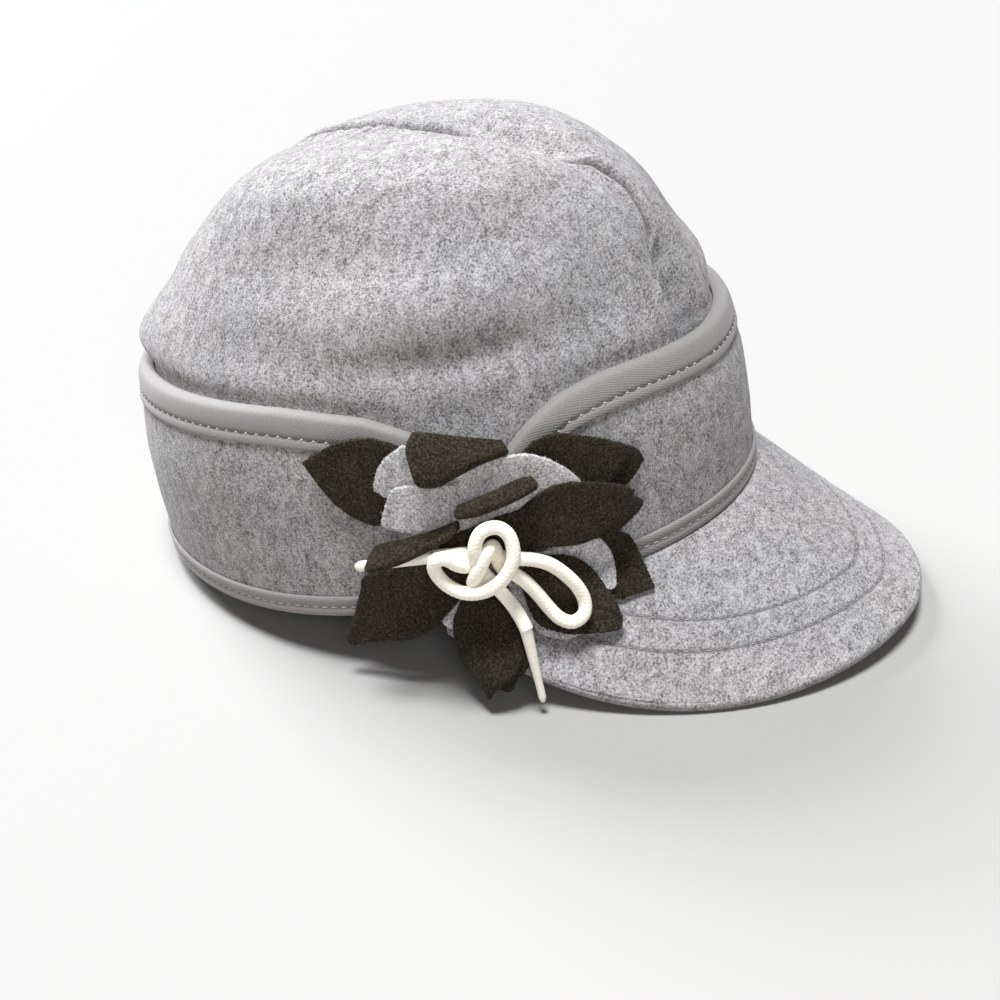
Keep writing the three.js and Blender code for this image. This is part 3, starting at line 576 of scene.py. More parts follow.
def binding_top_section(turns):
    edge = band_top(turns)
    height = slanted_tape_height(turns)
    low = edge - height
    outside = TOP_TAPE_ROLL
    inside = BAND_WALL + GAP
    rings = []
    for share, out in TOP_TAPE_FACE:
        rings.append(band_point(turns, low + share * height, -out))
    half = (outside + inside + TAPE_WALL) / 2
    for k in range(1, TOP_EDGE_ARC):
        bend = math.pi * k / TOP_EDGE_ARC
        out = -outside + half * (1 - math.cos(bend))
        rings.append(band_point(turns, edge + TAPE_STACK * math.sin(bend), out))
    rings.append(band_point(turns, edge, inside + TAPE_WALL))
    rings.append(band_point(turns, low + TOP_TAPE_BEVEL, inside + TAPE_WALL))
    rings.append(band_point(turns, low, inside + 0.5 * TAPE_WALL))
    rings.append(band_point(turns, low, inside))
    rings.append(band_point(turns, edge, inside))
    rings.append(band_point(turns, edge + TOP_TAPE_INNER_RISE, 0.5 * BAND_WALL))
    rings.append(band_point(turns, edge, -GAP))
    return np.stack(rings, 1)


def binding_bottom_section(turns):
    inside = RIM_WIDTH - TAPE_STACK
    rings = []
    for share, out in BOTTOM_TAPE_FACE:
        rings.append(band_point(turns, np.full(turns.shape, share * BOTTOM_TAPE_HEIGHT), -out))
    for z, inset in (
        (0.35, -0.95), (0.08, -0.6), (0.0, 0.0), (0.0, 0.5 * inside), (0.0, inside - 0.6),
        (0.2, inside - 0.15), (0.8, inside), (0.5 * BOTTOM_TAPE_HEIGHT, inside),
        (BOTTOM_TAPE_HEIGHT, inside), (BOTTOM_TAPE_HEIGHT, inside - TAPE_WALL),
        (TAPE_WALL, inside - TAPE_WALL), (TAPE_WALL, -GAP), (0.6 * BOTTOM_TAPE_HEIGHT, -GAP),
    ):
        rings.append(band_point(turns, np.full(turns.shape, z), inset))
    return np.stack(rings, 1)


# Peak


def visor_point(across, out):
    """Upper surface of the peak: across from -1 to 1, out from 0 at the rim to 1 at the edge."""
    root_angle = -across * VISOR_CORNER_ANGLE
    turn = across * (math.pi / 2)
    root = np.stack([-RIM_HALF_WIDTH * np.sin(root_angle), -RIM_HALF_LENGTH * np.cos(root_angle)], -1)
    sine = np.sin(turn)
    cosine = np.maximum(np.cos(turn), 0)
    edge = np.stack([
        VISOR_HALF_WIDTH * np.sign(sine) * np.abs(sine) ** VISOR_SIDE_POWER,
        VISOR_CORNER_Y - VISOR_REACH * cosine**VISOR_FRONT_POWER,
    ], -1)
    out = np.asarray(out)
    place = root + (edge - root) * out[..., None]

    def fall(spot):
        return VISOR_SLOPE * (spot[..., 1] + RIM_HALF_LENGTH) - VISOR_BEND * spot[..., 0] ** 2

    meet_rim = (-GAP - fall(root)) * (1 - out) ** 2
    return np.concatenate([place, (fall(place) + meet_rim)[..., None]], -1)


def visor_normal(across, out):
    step = 0.005
    side = np.clip(across, -1 + step, 1 - step)
    low = np.clip(out, step, 1 - step)
    wide = visor_point(side + step, low) - visor_point(side - step, low)
    long = visor_point(side, low + step) - visor_point(side, low - step)
    normal = np.cross(wide, long)
    return unit(normal * np.sign(normal[..., 2:3]))


VISOR_ACROSS = 150
VISOR_OUT = 110
VISOR_EDGE_ARC = 9
VISOR_TURN_WIDTH = 20
VISOR_LIP_SHARE = 0.2
VISOR_GROOVE_DEPTH = 0.32
VISOR_GROOVE_HALF_WIDTH = 0.55
VISOR_EDGE_POINTS = 400
VISOR_SPREAD = 0.9
VISOR_OUT_POWER = 0.85
VISOR_WAVE_SHARE = 0.8
VISOR_WAVES_FROM_OUT = 0.1
VISOR_WAVES_FULL_OUT = 0.4


def edge_distance(points, edge):
    gaps = np.linalg.norm(points[:, None, :] - edge[None, :, :], axis=-1)
    return gaps.min(1)


def row_distance(across, points):
    """How far in from the peak's edge places are, as its rows of stitches run, further in at each side."""
    edge = visor_point(np.linspace(-1, 1, VISOR_EDGE_POINTS), np.ones(VISOR_EDGE_POINTS))
    away = edge_distance(points.reshape(-1, 3), edge).reshape(points.shape[:-1])
    return away - VISOR_ROW_SPREAD * np.sin(math.pi * np.abs(across))


def visor_groove_share(across, points):
    """How far places on the peak lie in the grooves of its stitch rows, for their depth and their painted
    shade.
    """
    away = row_distance(across, points)
    return sum(np.exp(-(((away - inset) / VISOR_GROOVE_HALF_WIDTH) ** 2)) for inset in VISOR_STITCH_ROWS)


def visor_waves(points, out):
    return VISOR_WAVE_SHARE * felt_waves(points) * smoothstep(out, VISOR_WAVES_FROM_OUT, VISOR_WAVES_FULL_OUT)


def visor_down(side, out, rim, top):
    """Direction through the felt: straight down at the rim, square to the felt further out."""
    share = np.minimum(1, np.linalg.norm(top - rim, axis=-1, keepdims=True) / VISOR_TURN_WIDTH)
    down = (1 - share) * np.array((0, 0, -1.0)) - share * visor_normal(side, out)
    return unit(down)


def visor_shell():
    spread = np.linspace(-1, 1, VISOR_ACROSS + 1)
    widest = math.pi / 2 * VISOR_SPREAD
    across = np.sin(spread * widest) / math.sin(widest)
    outs = np.linspace(0, 1, VISOR_OUT + 1) ** VISOR_OUT_POWER
    side, out = np.meshgrid(across, outs, indexing="ij")
    top = visor_point(side, out)
    rim = top[:, :1]
    edge = top[:, -1:]
    down = visor_down(side, out, rim, top)
    edge_down = down[:, -1:]
    inward = VISOR_ROOT_UNDER_RIM * unit(-rim * [1, 1, 0])
    half = VISOR_THICKNESS / 2
    width = np.linalg.norm(edge - rim, axis=-1, keepdims=True)
    lip = np.minimum(half, VISOR_LIP_SHARE * width)
    reach = unit(edge - rim)
    waves = visor_waves(top, out)
    groove = visor_groove_share(side, top)
    thin = (waves - VISOR_GROOVE_DEPTH * groove)[..., None]
    inside_edge = np.linalg.norm(edge - top, axis=-1, keepdims=True) > lip
    pulled = edge - reach * lip
    upper = np.where(inside_edge, top - down * thin, pulled)
    under = top + down * (VISOR_THICKNESS - waves[..., None])
    lower = np.where(inside_edge, under, pulled + edge_down * VISOR_THICKNESS)
    arc = []
    for k in range(1, VISOR_EDGE_ARC):
        bend = math.pi * k / VISOR_EDGE_ARC
        arc.append(pulled + edge_down * half * (1 - math.cos(bend)) + reach * lip * math.sin(bend))
    arc = np.concatenate(arc, 1)
    under_rim_top = rim + inward
    under_rim_low = under_rim_top - [0, 0, VISOR_THICKNESS]
    loops = np.concatenate([under_rim_top, upper, arc, lower[:, ::-1], under_rim_low], 1)
    # Painted shade in the grooves of the stitch rows
    shade = np.zeros(loops.shape[:2])
    shade[:, 1:1 + groove.shape[1]] = groove
    return *capped_loft(loops), shade.reshape(-1)


# Stitches: short rounded threads along a line of points


def resampled(points, pitch):
    """Points a pitch apart along a line."""
    far = distance_along(points)
    count = max(2, int(round(far[-1] / pitch)))
    return sampled(np.linspace(0, far[-1], count + 1), far, points)


STITCH_RINGS = 5
STITCH_SIDES = 6
THREAD_BOW = 0.9
THREAD_END_PHASE = 0.08
THREAD_LEAST = 0.3


def stitches(name, line, normals, pitch, share, radius, sink, material, slot, start=0.0):
    """Threads of a share of the pitch, lying on the line and bowed out along its normals."""
    far = distance_along(line)
    count = int(round(far[-1] / pitch))
    middles = (np.arange(count) + 0.5 + start) * far[-1] / count
    middles = middles[middles < far[-1] - pitch]
    length = share * pitch
    first = sampled(middles - length / 2, far, line)
    last = sampled(middles + length / 2, far, line)
    along = unit(last - first)
    out = sampled(middles, far, normals)
    out = unit(out - along * np.sum(out * along, axis=1, keepdims=True))
    side = np.cross(along, out)
    turn = FULL_TURN * np.arange(STITCH_SIDES) / STITCH_SIDES
    rings = []
    for r in range(STITCH_RINGS + 1):
        t = r / STITCH_RINGS
        phase = THREAD_END_PHASE + (1 - 2 * THREAD_END_PHASE) * t
        rise = sink + radius * THREAD_BOW * math.sin(math.pi * t)
        thick = radius * max(math.sin(math.pi * phase) ** 0.5, THREAD_LEAST)
        centre = first + (last - first) * t
        rings.append(
            centre[:, None] + out[:, None] * (rise + thick * np.sin(turn))[None, :, None]
            + side[:, None] * (thick * np.cos(turn))[None, :, None]
        )
    points = np.stack(rings, 1)
    per_thread = (STITCH_RINGS + 1) * STITCH_SIDES
    faces = []
    for i in range(len(middles)):
        faces += grid_faces(STITCH_RINGS + 1, STITCH_SIDES, False, True, i * per_thread)
        faces.append([i * per_thread + s for s in range(STITCH_SIDES)][::-1])
        faces.append([i * per_thread + STITCH_RINGS * STITCH_SIDES + s for s in range(STITCH_SIDES)])
    points = points.reshape(-1, 3)
    return make_object(name, to_frame(points), outward(points, faces), material)


# Flower


def angle_along_band(h):
    steps = 60
    angle = np.full(np.shape(h), FLOWER_ANGLE)
    for _ in range(steps):
        angle = angle - h / steps / np.hypot(
            WALL_HALF_WIDTH * np.cos(angle), WALL_HALF_LENGTH * np.sin(angle)
        )
    return angle


def wall_point(h, k, off):
    """A place on the band's side: h along it towards the front, k above the rim, off away from it."""
    angle = angle_along_band(np.asarray(h, float))
    out = np.stack([-np.sin(angle) / WALL_HALF_WIDTH, -np.cos(angle) / WALL_HALF_LENGTH], -1)
    out = unit(out)
    x = -WALL_HALF_WIDTH * np.sin(angle) + out[..., 0] * off
    y = -WALL_HALF_LENGTH * np.cos(angle) + out[..., 1] * off
    return np.stack([x, y, np.asarray(k, float) + 0 * x], -1)


def lift_over_peak(h, k):
    share = smoothstep(h, LIFT_FROM_H, LIFT_FULL_H)
    return share * np.clip(LIFT_SLOPE * (LIFT_BELOW - k), 0, LIFT_MOST)


# Outlines of the petals that lie along the band, as h and k in millimetres from root to root. A point
# given twice is a corner.
DARK_PETALS = {
    "left": (0, (
        (-8, 43), (-15.5, 52.5), (-21.6, 55.8), (-27, 56.6), (-36, 55.1), (-46, 50.3), (-46, 50.3),
        (-41.4, 40.6), (-37.2, 35.3), (-31.6, 30.9), (-26, 29.2), (-16, 30.5), (-8, 36),
    )),
    "top_right_back": (0, (
        (14, 37), (26, 43), (38, 41), (49, 36.5), (51.8, 32), (51.8, 32), (47.6, 27.4), (42, 25.2), (24, 27),
    )),
    "side": (0, (
        (24, 16), (31, 17.5), (36.9, 13.5), (41, 12), (43.9, 9.4), (45.6, 3.8), (45.9, -2), (46, -6.4),
        (46, -6.4), (40.4, -6), (35.1, -5.7), (30, -2), (25, 6),
    )),
    "top_right": (1, (
        (9, 35), (12, 41), (16.8, 45.7), (21, 48.2), (26.5, 48.5), (32.1, 46.4), (38.3, 43.6), (44, 40.2),
        (48.1, 37.3), (48.1, 37.3), (47.6, 35.4), (45.4, 34), (41, 30.5), (37, 28.2), (28, 27), (15, 29),
    )),
    "lower_left": (1, (
        (-5, 16), (-15.8, 19.2), (-25.7, 17), (-34.2, 14.4), (-37.1, 8.8), (-40.7, 1.3), (-44.6, -6.4),
        (-45, -8.4), (-43.6, -9.2), (-40.2, -8.8), (-33.5, -7.8), (-26, -7.9), (-21, -6.3), (-15.7, -3),
        (-12.6, -0.3), (-8, 4), (-4, 9),
    )),
    "bottom_back": (2, (
        (2, 6), (-4, -6), (-3.6, -15), (-1.4, -20.3), (1.2, -21.8), (1.2, -21.8), (2.4, -20.4), (3.4, -18.6),
        (4.2, -17.8), (6.6, -15.3), (8.6, -11), (9, -4), (7, 2),
    )),
    "right_back": (2, (
        (15, 22), (30, 29), (41, 26), (45.3, 23.2), (48.2, 20.7), (48.2, 20.7), (46.7, 18.3), (42.7, 16.2),
        (37, 14.2), (24, 16),
    )),
    "bottom": (3.3, (
        (-2, 9), (-6.4, 6.5), (-8.8, 3.4), (-10.8, -1.1), (-11.4, -6.9), (-10.6, -13.2), (-8.5, -16.5),
        (-5.8, -19.4), (-4.5, -22.9), (-4.5, -22.9), (-2.4, -20), (1.3, -17.4), (4.7, -13.9), (7, -9.1),
        (8, -2.9), (6.9, 3.1),
    )),
    "lower_right": (2.3, (
        (10.5, 11), (14, 13.6), (19, 13.6), (24.3, 11.5), (28.2, 7.9), (30.6, 3.7), (32, -0.9), (33.1, -4.3),
        (33.6, -8.6), (33.6, -8.6), (32, -11.4), (32, -11.4), (26, -10.6), (19.3, -9.1), (15, -7),
        (11.1, -3.4), (9.6, 4),
    )),
    "right": (4, (
        (-10.2, 25.2), (-5.1, 27.4), (1.1, 28.8), (7, 30.3), (12.1, 30.9), (16, 33), (20, 35.1),
        (25.4, 35.6), (33.1, 33.3), (39.8, 30.3), (44.2, 26.9), (44.2, 26.9), (42.1, 23.8), (38.2, 20),
        (31.8, 16.6), (25.4, 16), (18.3, 17.4), (11.6, 17.3), (1.9, 19.6), (-6.2, 21.2),
    )),
}
GREY_PETALS = {
    "small": (1.95, (
        (-7, 5), (-11.5, 1.2), (-14.2, -1.6), (-13.2, -3.6), (-11.7, -4.6), (-8.6, -4.2), (-5.5, -1),
    )),
    "upper_left": (1, (
        (-6, 42), (-9, 50), (-14.1, 53.8), (-16.5, 52.9), (-20.1, 50.8), (-23, 47.7), (-24.8, 43.9),
        (-25.4, 41.2), (-25.4, 41.2), (-22.1, 38.5), (-17, 37), (-11, 36),
    )),
    "lower_side": (1, (
        (6, 7), (8, -2), (10.2, -5.4), (10.8, -7.6), (13.7, -9.6), (17.5, -11), (20.9, -11), (23.6, -9.6),
        (22, -2), (14, 5),
    )),
    "right_side": (1.1, (
        (11, 14), (16.8, 14), (20.2, 14.9), (26.5, 14.2), (32, 14.6), (35, 11.5), (36.9, 6.2), (36.2, 1.3),
        (33.9, -2), (26, 1), (16, 8),
    )),
    "left": (2, (
        (2, 38), (-2, 41), (-9, 41.2), (-15.8, 42.6), (-19.6, 42), (-21.9, 38.7), (-23.8, 34.6),
        (-24.7, 30.9), (-21.1, 28.9), (-16.4, 27.2), (-9.9, 27.6), (-3, 28.2), (2, 30.5),
    )),
    "arch": (3, (
        (-5, 33), (-3.2, 38.1), (0.2, 43.7), (4.3, 46.2), (9.1, 47.1), (15.7, 47), (21.2, 44.4), (26.6, 39.5),
        (30.1, 34.4), (31.3, 29.6), (26, 26), (12, 24), (-1, 25),
    )),
}


CURVE_STEPS = 24


def smooth_outline(points, count):
    """A closed curve through the points. A point given twice makes a corner."""
    p = np.array(points, float)
    n = len(p)
    curve = []
    for i in range(n):
        a, b, c, d = p[(i - 1) % n], p[i], p[(i + 1) % n], p[(i + 2) % n]
        if np.allclose(b, c):
            continue
        t = np.linspace(0, 1, CURVE_STEPS, endpoint=False)[:, None]
        start = (c - a) / 2 if not np.allclose(a, b) else (c - b) / 2
        end = (d - b) / 2 if not np.allclose(c, d) else (c - b) / 2
        curve.append(eased(b, start, c, end, t))
    line = np.concatenate([*curve, curve[0][:1]])
    far = distance_along(line)
    return sampled(np.linspace(0, far[-1], count, endpoint=False), far, line)


PETAL_EDGE_POINTS = 190
PETAL_RINGS = 8
PETAL_EDGE_RADIUS = 0.55
PETAL_RAGGED = 0.09
PETAL_WAVE = 0.45
PETAL_DISH = 0.9
PETAL_WAVE_LENGTHS = (5.5, 6.5)
PETAL_EDGE_BENDS = (0.3, 0.6, 0.85)


def flat_petal(name, layer, outline, material, random):
    """Felt cut to an outline, lying over what is under it, with rounded and slightly ragged edges."""
    edge = smooth_outline(outline, PETAL_EDGE_POINTS)
    edge = edge + random.normal(0, PETAL_RAGGED, edge.shape)
    centre = edge.mean(0)
    level = LAYER_FIRST + layer * LAYER_PITCH + PETAL_WALL / 2
    inward = centre - edge
    size = np.linalg.norm(inward, axis=1).max()
    inward = unit(inward)
    half = PETAL_WALL / 2
    top_rings = []
    for k in range(1, PETAL_RINGS + 1):
        body = edge + inward * PETAL_EDGE_RADIUS
        top_rings.append((centre + (body - centre) * k / PETAL_RINGS, half))
    for bend in PETAL_EDGE_BENDS:
        angle = bend * math.pi / 2
        spot = edge + inward * PETAL_EDGE_RADIUS * (1 - math.sin(angle))
        top_rings.append((spot, half * math.cos(angle)))
    rings = [*top_rings, (edge, 0.0), *[(spot, -rise) for spot, rise in reversed(top_rings)]]
    phase = random.uniform(0, FULL_TURN, 3)

    def place(spot, rise):
        h, k = spot[:, 0], spot[:, 1]
        long, wide = PETAL_WAVE_LENGTHS
        wave = PETAL_WAVE * np.sin(h / long + phase[0]) * np.sin(k / wide + phase[1])
        out = np.linalg.norm(spot - centre, axis=1) / size
        dish = PETAL_DISH * out**2 * (0.5 + 0.5 * math.sin(phase[2]))
        return wall_point(h, k, level + lift_over_peak(h, k) + wave + dish + rise)

    points = [place(spot, rise) for spot, rise in rings]
    for rise in (half, -half):
        points.append(place(centre[None], rise))
    points = np.concatenate(points)
    cols = PETAL_EDGE_POINTS
    faces = grid_faces(len(rings), cols, False, True)
    upper_centre = len(rings) * cols
    for j in range(cols):
        j2 = (j + 1) % cols
        faces.append([upper_centre, j2, j])
        last = (len(rings) - 1) * cols
        faces.append([upper_centre + 1, last + j, last + j2])
    piece = make_object(name, to_frame(points), outward(points, faces), material)
    return piece, place(edge, 0.0), place(edge - inward, 0.0) - place(edge, 0.0)


# Petals folded to stand out from the band. Each line of places, h, k and off, runs from the flower's left
# to its right, and the felt passes from line to line: out from the band, round the fold and back under.
STANDING_PETALS = {
    "top_fold": (
        ((-10.9, 58.2, 5.0), (-6.2, 57.1, 4.8), (0, 55, 4.6), (6.2, 52.8, 4.4), (11.8, 50.9, 4.4)),
        ((-12.7, 55.2, 9.0), (-6.4, 53.0, 9.0), (-0.4, 52.0, 8.4), (5.8, 51.4, 7.4), (12.4, 49.8, 5.8)),
        ((-11.8, 49.0, 12.9), (-6.6, 47.4, 12.6), (-0.6, 48.5, 11.4), (5.6, 49.4, 9.6), (12.8, 48.9, 6.8)),
        ((-10.9, 45.6, 12.6), (-6.4, 44.6, 12.1), (-1.2, 46.1, 10.8), (5.0, 47.6, 9.0), (12.8, 48.0, 6.4)),
        ((-8.6, 45.6, 9.4), (-5.4, 45.2, 9.0), (-0.8, 46.4, 8.0), (5.2, 47.6, 7.0), (12.2, 47.9, 5.2)),
    ),
    "curl": (
        ((-3.0, 35.4, 8.4), (2.4, 36.9, 8.4), (8.0, 38.3, 8.4), (13.4, 39.9, 8.4), (17.2, 40.0, 8.4)),
        ((-3.6, 35.4, 11.8), (2.0, 36.8, 12.0), (7.8, 38.2, 12.2), (13.2, 39.7, 12.2), (17.9, 39.9, 12.0)),
        ((-3.4, 34.9, 13.6), (1.8, 35.5, 14.2), (7.4, 36.9, 14.6), (12.8, 38.3, 14.6), (17.8, 39.4, 13.9)),
        ((-2.8, 34.6, 12.8), (2.0, 34.4, 13.0), (7.4, 35.6, 13.3), (12.6, 37.0, 13.3), (17.2, 38.7, 12.9)),
        ((-2.4, 34.8, 9.6), (2.2, 34.5, 9.4), (7.6, 35.6, 9.4), (12.8, 37.0, 9.4), (16.6, 38.6, 9.4)),
    ),
    "strip": (
        ((-26.6, 26.6, 8.4), (-18.6, 27.8, 8.4), (-11.2, 29.0, 8.2), (-3.4, 30.9, 8.0)),
        ((-27.9, 24.9, 12.0), (-19.6, 26.3, 11.6), (-12.2, 27.9, 11.0), (-3.2, 30.3, 10.2)),
        ((-28.6, 22.6, 15.2), (-20.8, 23.8, 14.2), (-13.6, 26.0, 13.2), (-4.2, 29.6, 11.9)),
        ((-27.4, 21.9, 15.0), (-20.4, 22.9, 13.9), (-13.6, 25.1, 12.8), (-4.8, 28.9, 11.4)),
    ),
}
STANDING_LONG = 60
STANDING_WIDE = 34
STANDING_RIM_STEPS = 2.5
STANDING_RIM_LEAST = 0.06


def standing_petal(name, lines, material):
    """Felt that passes through lines of places, with its rim rounded all the way round."""
    lines = np.array(lines, float)

    def surface(along, across):
        along_place = np.clip(along, 0, 1) * (lines.shape[1] - 1)
        across_place = np.clip(across, 0, 1) * (lines.shape[0] - 1)
        spot = []
        for axis in range(3):
            across_lines = [smooth_rows(line[:, axis], along_place) for line in lines]
            stacked = np.stack(across_lines)
            row = np.clip(np.floor(across_place).astype(int), 0, len(lines) - 2)
            picked = np.stack([
                np.take_along_axis(stacked, np.clip(row + shift, 0, len(lines) - 1)[None], 0)[0]
                for shift in (-1, 0, 1, 2)
            ])
            spot.append(catmull_rom(picked, across_place - row))
        return wall_point(*spot)

    shares = np.linspace(0, 1, STANDING_LONG), np.linspace(0, 1, STANDING_WIDE)
    along, across = np.meshgrid(*shares, indexing="ij")
    step = 0.01
    low_along = np.clip(along, step, 1 - step)
    low_across = np.clip(across, step, 1 - step)
    long = surface(low_along + step, low_across) - surface(low_along - step, low_across)
    wide = surface(low_along, low_across + step) - surface(low_along, low_across - step)
    normal = unit(np.cross(long, wide))
    middle = surface(along, across)
    to_end = np.minimum(along, 1 - along) * STANDING_LONG
    to_side = np.minimum(across, 1 - across) * STANDING_WIDE
    to_rim = np.minimum(to_end, to_side) / STANDING_RIM_STEPS
    half = normal * (PETAL_WALL / 2 * np.sqrt(np.clip(to_rim, STANDING_RIM_LEAST, 1)))[..., None]
    points, faces = capped_loft(np.concatenate([middle + half, (middle - half)[:, ::-1]], 1))
    piece = make_object(name, to_frame(points), faces, material)
    edge = np.concatenate([middle[0], middle[-1], middle[:, 0], middle[:, -1]])
    further_in = np.concatenate([middle[2], middle[-3], middle[:, 2], middle[:, -3]])
    return piece, edge, edge - further_in


# Lace: route as h, k and off, in millimetres, one length of lace from its left end to its right end
LACE_ROUTE = (
    (-11.0, 23.0, 11.9), (-8.0, 22.9, 11.7), (-5.0, 22.5, 11.5), (-1.8, 22.2, 11.4), (1.6, 21.4, 11.4),
    (4.8, 20.0, 11.6), (7.6, 18.9, 12.0), (10.6, 17.9, 12.2), (13.7, 16.6, 12.0), (17.3, 14.0, 11.7),
    (20.5, 9.9, 11.5), (23.2, 4.9, 11.4), (24.4, 0.0, 11.7), (23.4, -3.7, 12.8), (20.2, -4.9, 13.4),
    (17.2, -3.1, 12.6), (15.0, 0.7, 11.8), (12.8, 5.8, 11.7), (10.4, 10.5, 11.9), (8.0, 13.7, 12.1),
    (5.6, 16.0, 11.9), (4.6, 18.6, 11.2), (4.6, 21.6, 11.6), (4.0, 24.2, 13.6), (2.6, 23.6, 15.7),
    (0.6, 20.4, 16.2), (-1.4, 16.8, 15.6), (-2.4, 14.2, 13.8), (-1.2, 14.2, 12.1), (0.2, 16.8, 11.6),
    (-0.8, 19.2, 12.4), (-3.4, 19.6, 13.8), (-5.4, 21.2, 15.0), (-7.4, 23.6, 15.8), (-9.7, 24.0, 16.2),
    (-10.9, 21.6, 15.6), (-10.4, 18.2, 15.0), (-8.4, 14.8, 15.0), (-5.2, 12.5, 15.6), (-1.4, 12.1, 16.4),
    (2.6, 13.4, 17.0), (6.0, 16.4, 17.4), (8.2, 20.2, 17.4), (8.9, 24.0, 16.8), (8.5, 27.6, 16.0),
    (6.8, 30.0, 15.4), (4.4, 30.6, 15.2), (1.8, 29.6, 15.6), (0.2, 26.8, 16.0), (-0.4, 23.4, 15.6),
    (-0.6, 20.0, 13.6), (0.0, 16.6, 12.0), (1.4, 13.6, 11.5), (3.4, 9.9, 12.1), (5.6, 5.4, 12.6),
    (7.3, 1.2, 14.2), (8.3, -2.6, 16.0),
)
# Lace tips: start and end as h, k and off, then radius at each, and how flat the end is
LACE_TIPS = {
    "lace_tip_left": ((-11.0, 23.0, 11.9), (-32.4, 21.6, 11.4), 1.9, 1.6, 0.85),
    "lace_tip_right": ((8.1, -1.9, 15.6), (8.8, -26.0, 17.2), 1.85, 1.15, 1.0),
}
LACE_SIDES = 40
LACE_STEP = 0.2
BRAID_STRANDS = 6
BRAID_LEAD = 7.6
BRAID_DEPTH = 0.17
BRAID_CROSSING = 6


def smooth_line(points, step):
    """A smooth open line through the points, with even steps."""
    p = np.array(points, float)
    place = np.linspace(0, len(p) - 1, (len(p) - 1) * CURVE_STEPS + 1)
    line = np.stack([smooth_rows(p[:, k], place) for k in range(3)], -1)
    return resampled(line, step)


def carried_frames(line):
    """Directions along a line, with a side and an upward one that turn as little as they can."""
    along = unit(np.gradient(line, axis=0))
    side = np.zeros_like(along)
    side[0] = unit(np.cross(along[0], (0, 0, 1)))
    for i in range(1, len(line)):
        side[i] = unit(side[i - 1] - along[i] * np.dot(side[i - 1], along[i]))
    return along, side, np.cross(along, side)


def braid_relief(turn, far):
    """Height of a round braid's strands, two sets that wind opposite ways and pass over each other."""
    wind = FULL_TURN * far / BRAID_LEAD
    one = BRAID_STRANDS * (turn + wind)
    two = BRAID_STRANDS * (turn - wind)
    over = 0.5 + 0.5 * np.tanh(BRAID_CROSSING * np.sin(one / 2) * np.sin(two / 2))
    first = np.abs(np.cos(one / 2))
    second = np.abs(np.cos(two / 2))
    return over * first + (1 - over) * second - 0.5


def lace_tube(name, route, material):
    line = smooth_line(wall_point(*np.array(route, float).T), LACE_STEP)
    _, side, up = carried_frames(line)
    far = np.arange(len(line)) * LACE_STEP
    turn = np.linspace(0, FULL_TURN, LACE_SIDES, endpoint=False)
    radius = LACE_DIAMETER / 2 + BRAID_DEPTH * braid_relief(turn[None, :], far[:, None])
    sections = (
        line[:, None] + radius[..., None] * np.cos(turn)[None, :, None] * side[:, None]
        + radius[..., None] * np.sin(turn)[None, :, None] * up[:, None]
    )
    points, faces = capped_loft(sections)
    piece = make_object(name, to_frame(points), faces, material)
    return piece, to_frame(line)


TIP_RINGS = 40
TIP_SIDES = 20
TIP_TAPER = 1.3
TIP_FLATTENING = 2
TIP_CLOSING = 8
TIP_END_SHARE = 0.55


def lace_tip(name, start, end, first_radius, last_radius, flatness, material, slot):
    """A stiffened end of the lace that tapers and flattens towards its tip."""
    a = wall_point(*start)
    b = wall_point(*end)
    h, k, off = np.array(start, float)
    out = wall_point(h, k, off + 1) - a
    along = unit(b - a)
    out = unit(out - along * np.dot(out, along))
    side = np.cross(along, out)
    rings = []
    for i in range(TIP_RINGS + 1):
        t = i / TIP_RINGS
        radius = first_radius + (last_radius - first_radius) * min(1, TIP_TAPER * t)
        thin = 1 + (flatness - 1) * min(1, TIP_FLATTENING * t)
        close = min(1, TIP_CLOSING * (1 - t) + TIP_END_SHARE)
        centre = a + (b - a) * t
        turn = np.linspace(0, FULL_TURN, TIP_SIDES, endpoint=False)
        rings.append(
            centre + (radius * close * np.cos(turn))[:, None] * side
            + (radius * close * thin * np.sin(turn))[:, None] * out
        )
    points, faces = capped_loft(np.array(rings))
    return make_object(name, to_frame(points), faces, material)


# Fibres: fine hairs of wool that stand off the felt

HAIR_SIDES = 3
HAIR_RINGS = ((0.0, 1.0), (0.5, 0.8), (1.0, 0.3))


def fibres(name, roots, directions, lengths, radius, bend, material, random):
    """One tapering hair at each root, bent a little on its way."""
    along = unit(directions)
    bends = random.normal(0, bend, along.shape)
    side = unit(np.cross(along, bends))
    up = np.cross(side, along)
    turn = FULL_TURN * np.arange(HAIR_SIDES) / HAIR_SIDES
    rings = []
    for share, thick in HAIR_RINGS:
        centre = roots + (along * share + bends * share**2) * lengths[:, None]
        rings.append(
            centre[:, None] + thick * radius * (
                side[:, None] * np.cos(turn)[None, :, None] + up[:, None] * np.sin(turn)[None, :, None]
            )
        )
    points = np.stack(rings, 1).reshape(-1, 3)
    per_hair = len(HAIR_RINGS) * HAIR_SIDES
    pattern = grid_faces(len(HAIR_RINGS), HAIR_SIDES, False, True)
    pattern += [[2, 1, 0], [per_hair - 3, per_hair - 2, per_hair - 1]]
    faces = [[corner + i * per_hair for corner in face] for i in range(len(roots)) for face in pattern]
    return make_object(name, to_frame(points), outward(points, faces), material)


def scattered(points, faces, count, random):
    """Places and outward directions spread evenly over four-sided faces."""
    quads = np.array([face for face in faces if len(face) == 4])
    a, b, c, d = (points[quads[:, k]] for k in range(4))
    square = np.cross(c - a, d - b)
    area = np.linalg.norm(square, axis=1)
    picked = random.choice(len(quads), count, p=area / area.sum())
    u = random.random((count, 1))
    v = random.random((count, 1))
    near = (1 - u) * a[picked] + u * b[picked]
    far = (1 - u) * d[picked] + u * c[picked]
    return (1 - v) * near + v * far, unit(square[picked])


# Materials

# How far painted shade darkens the felt in seams and stitch grooves, towards its darkest tone
PAINTED_GROOVE_SHADE = 0.9


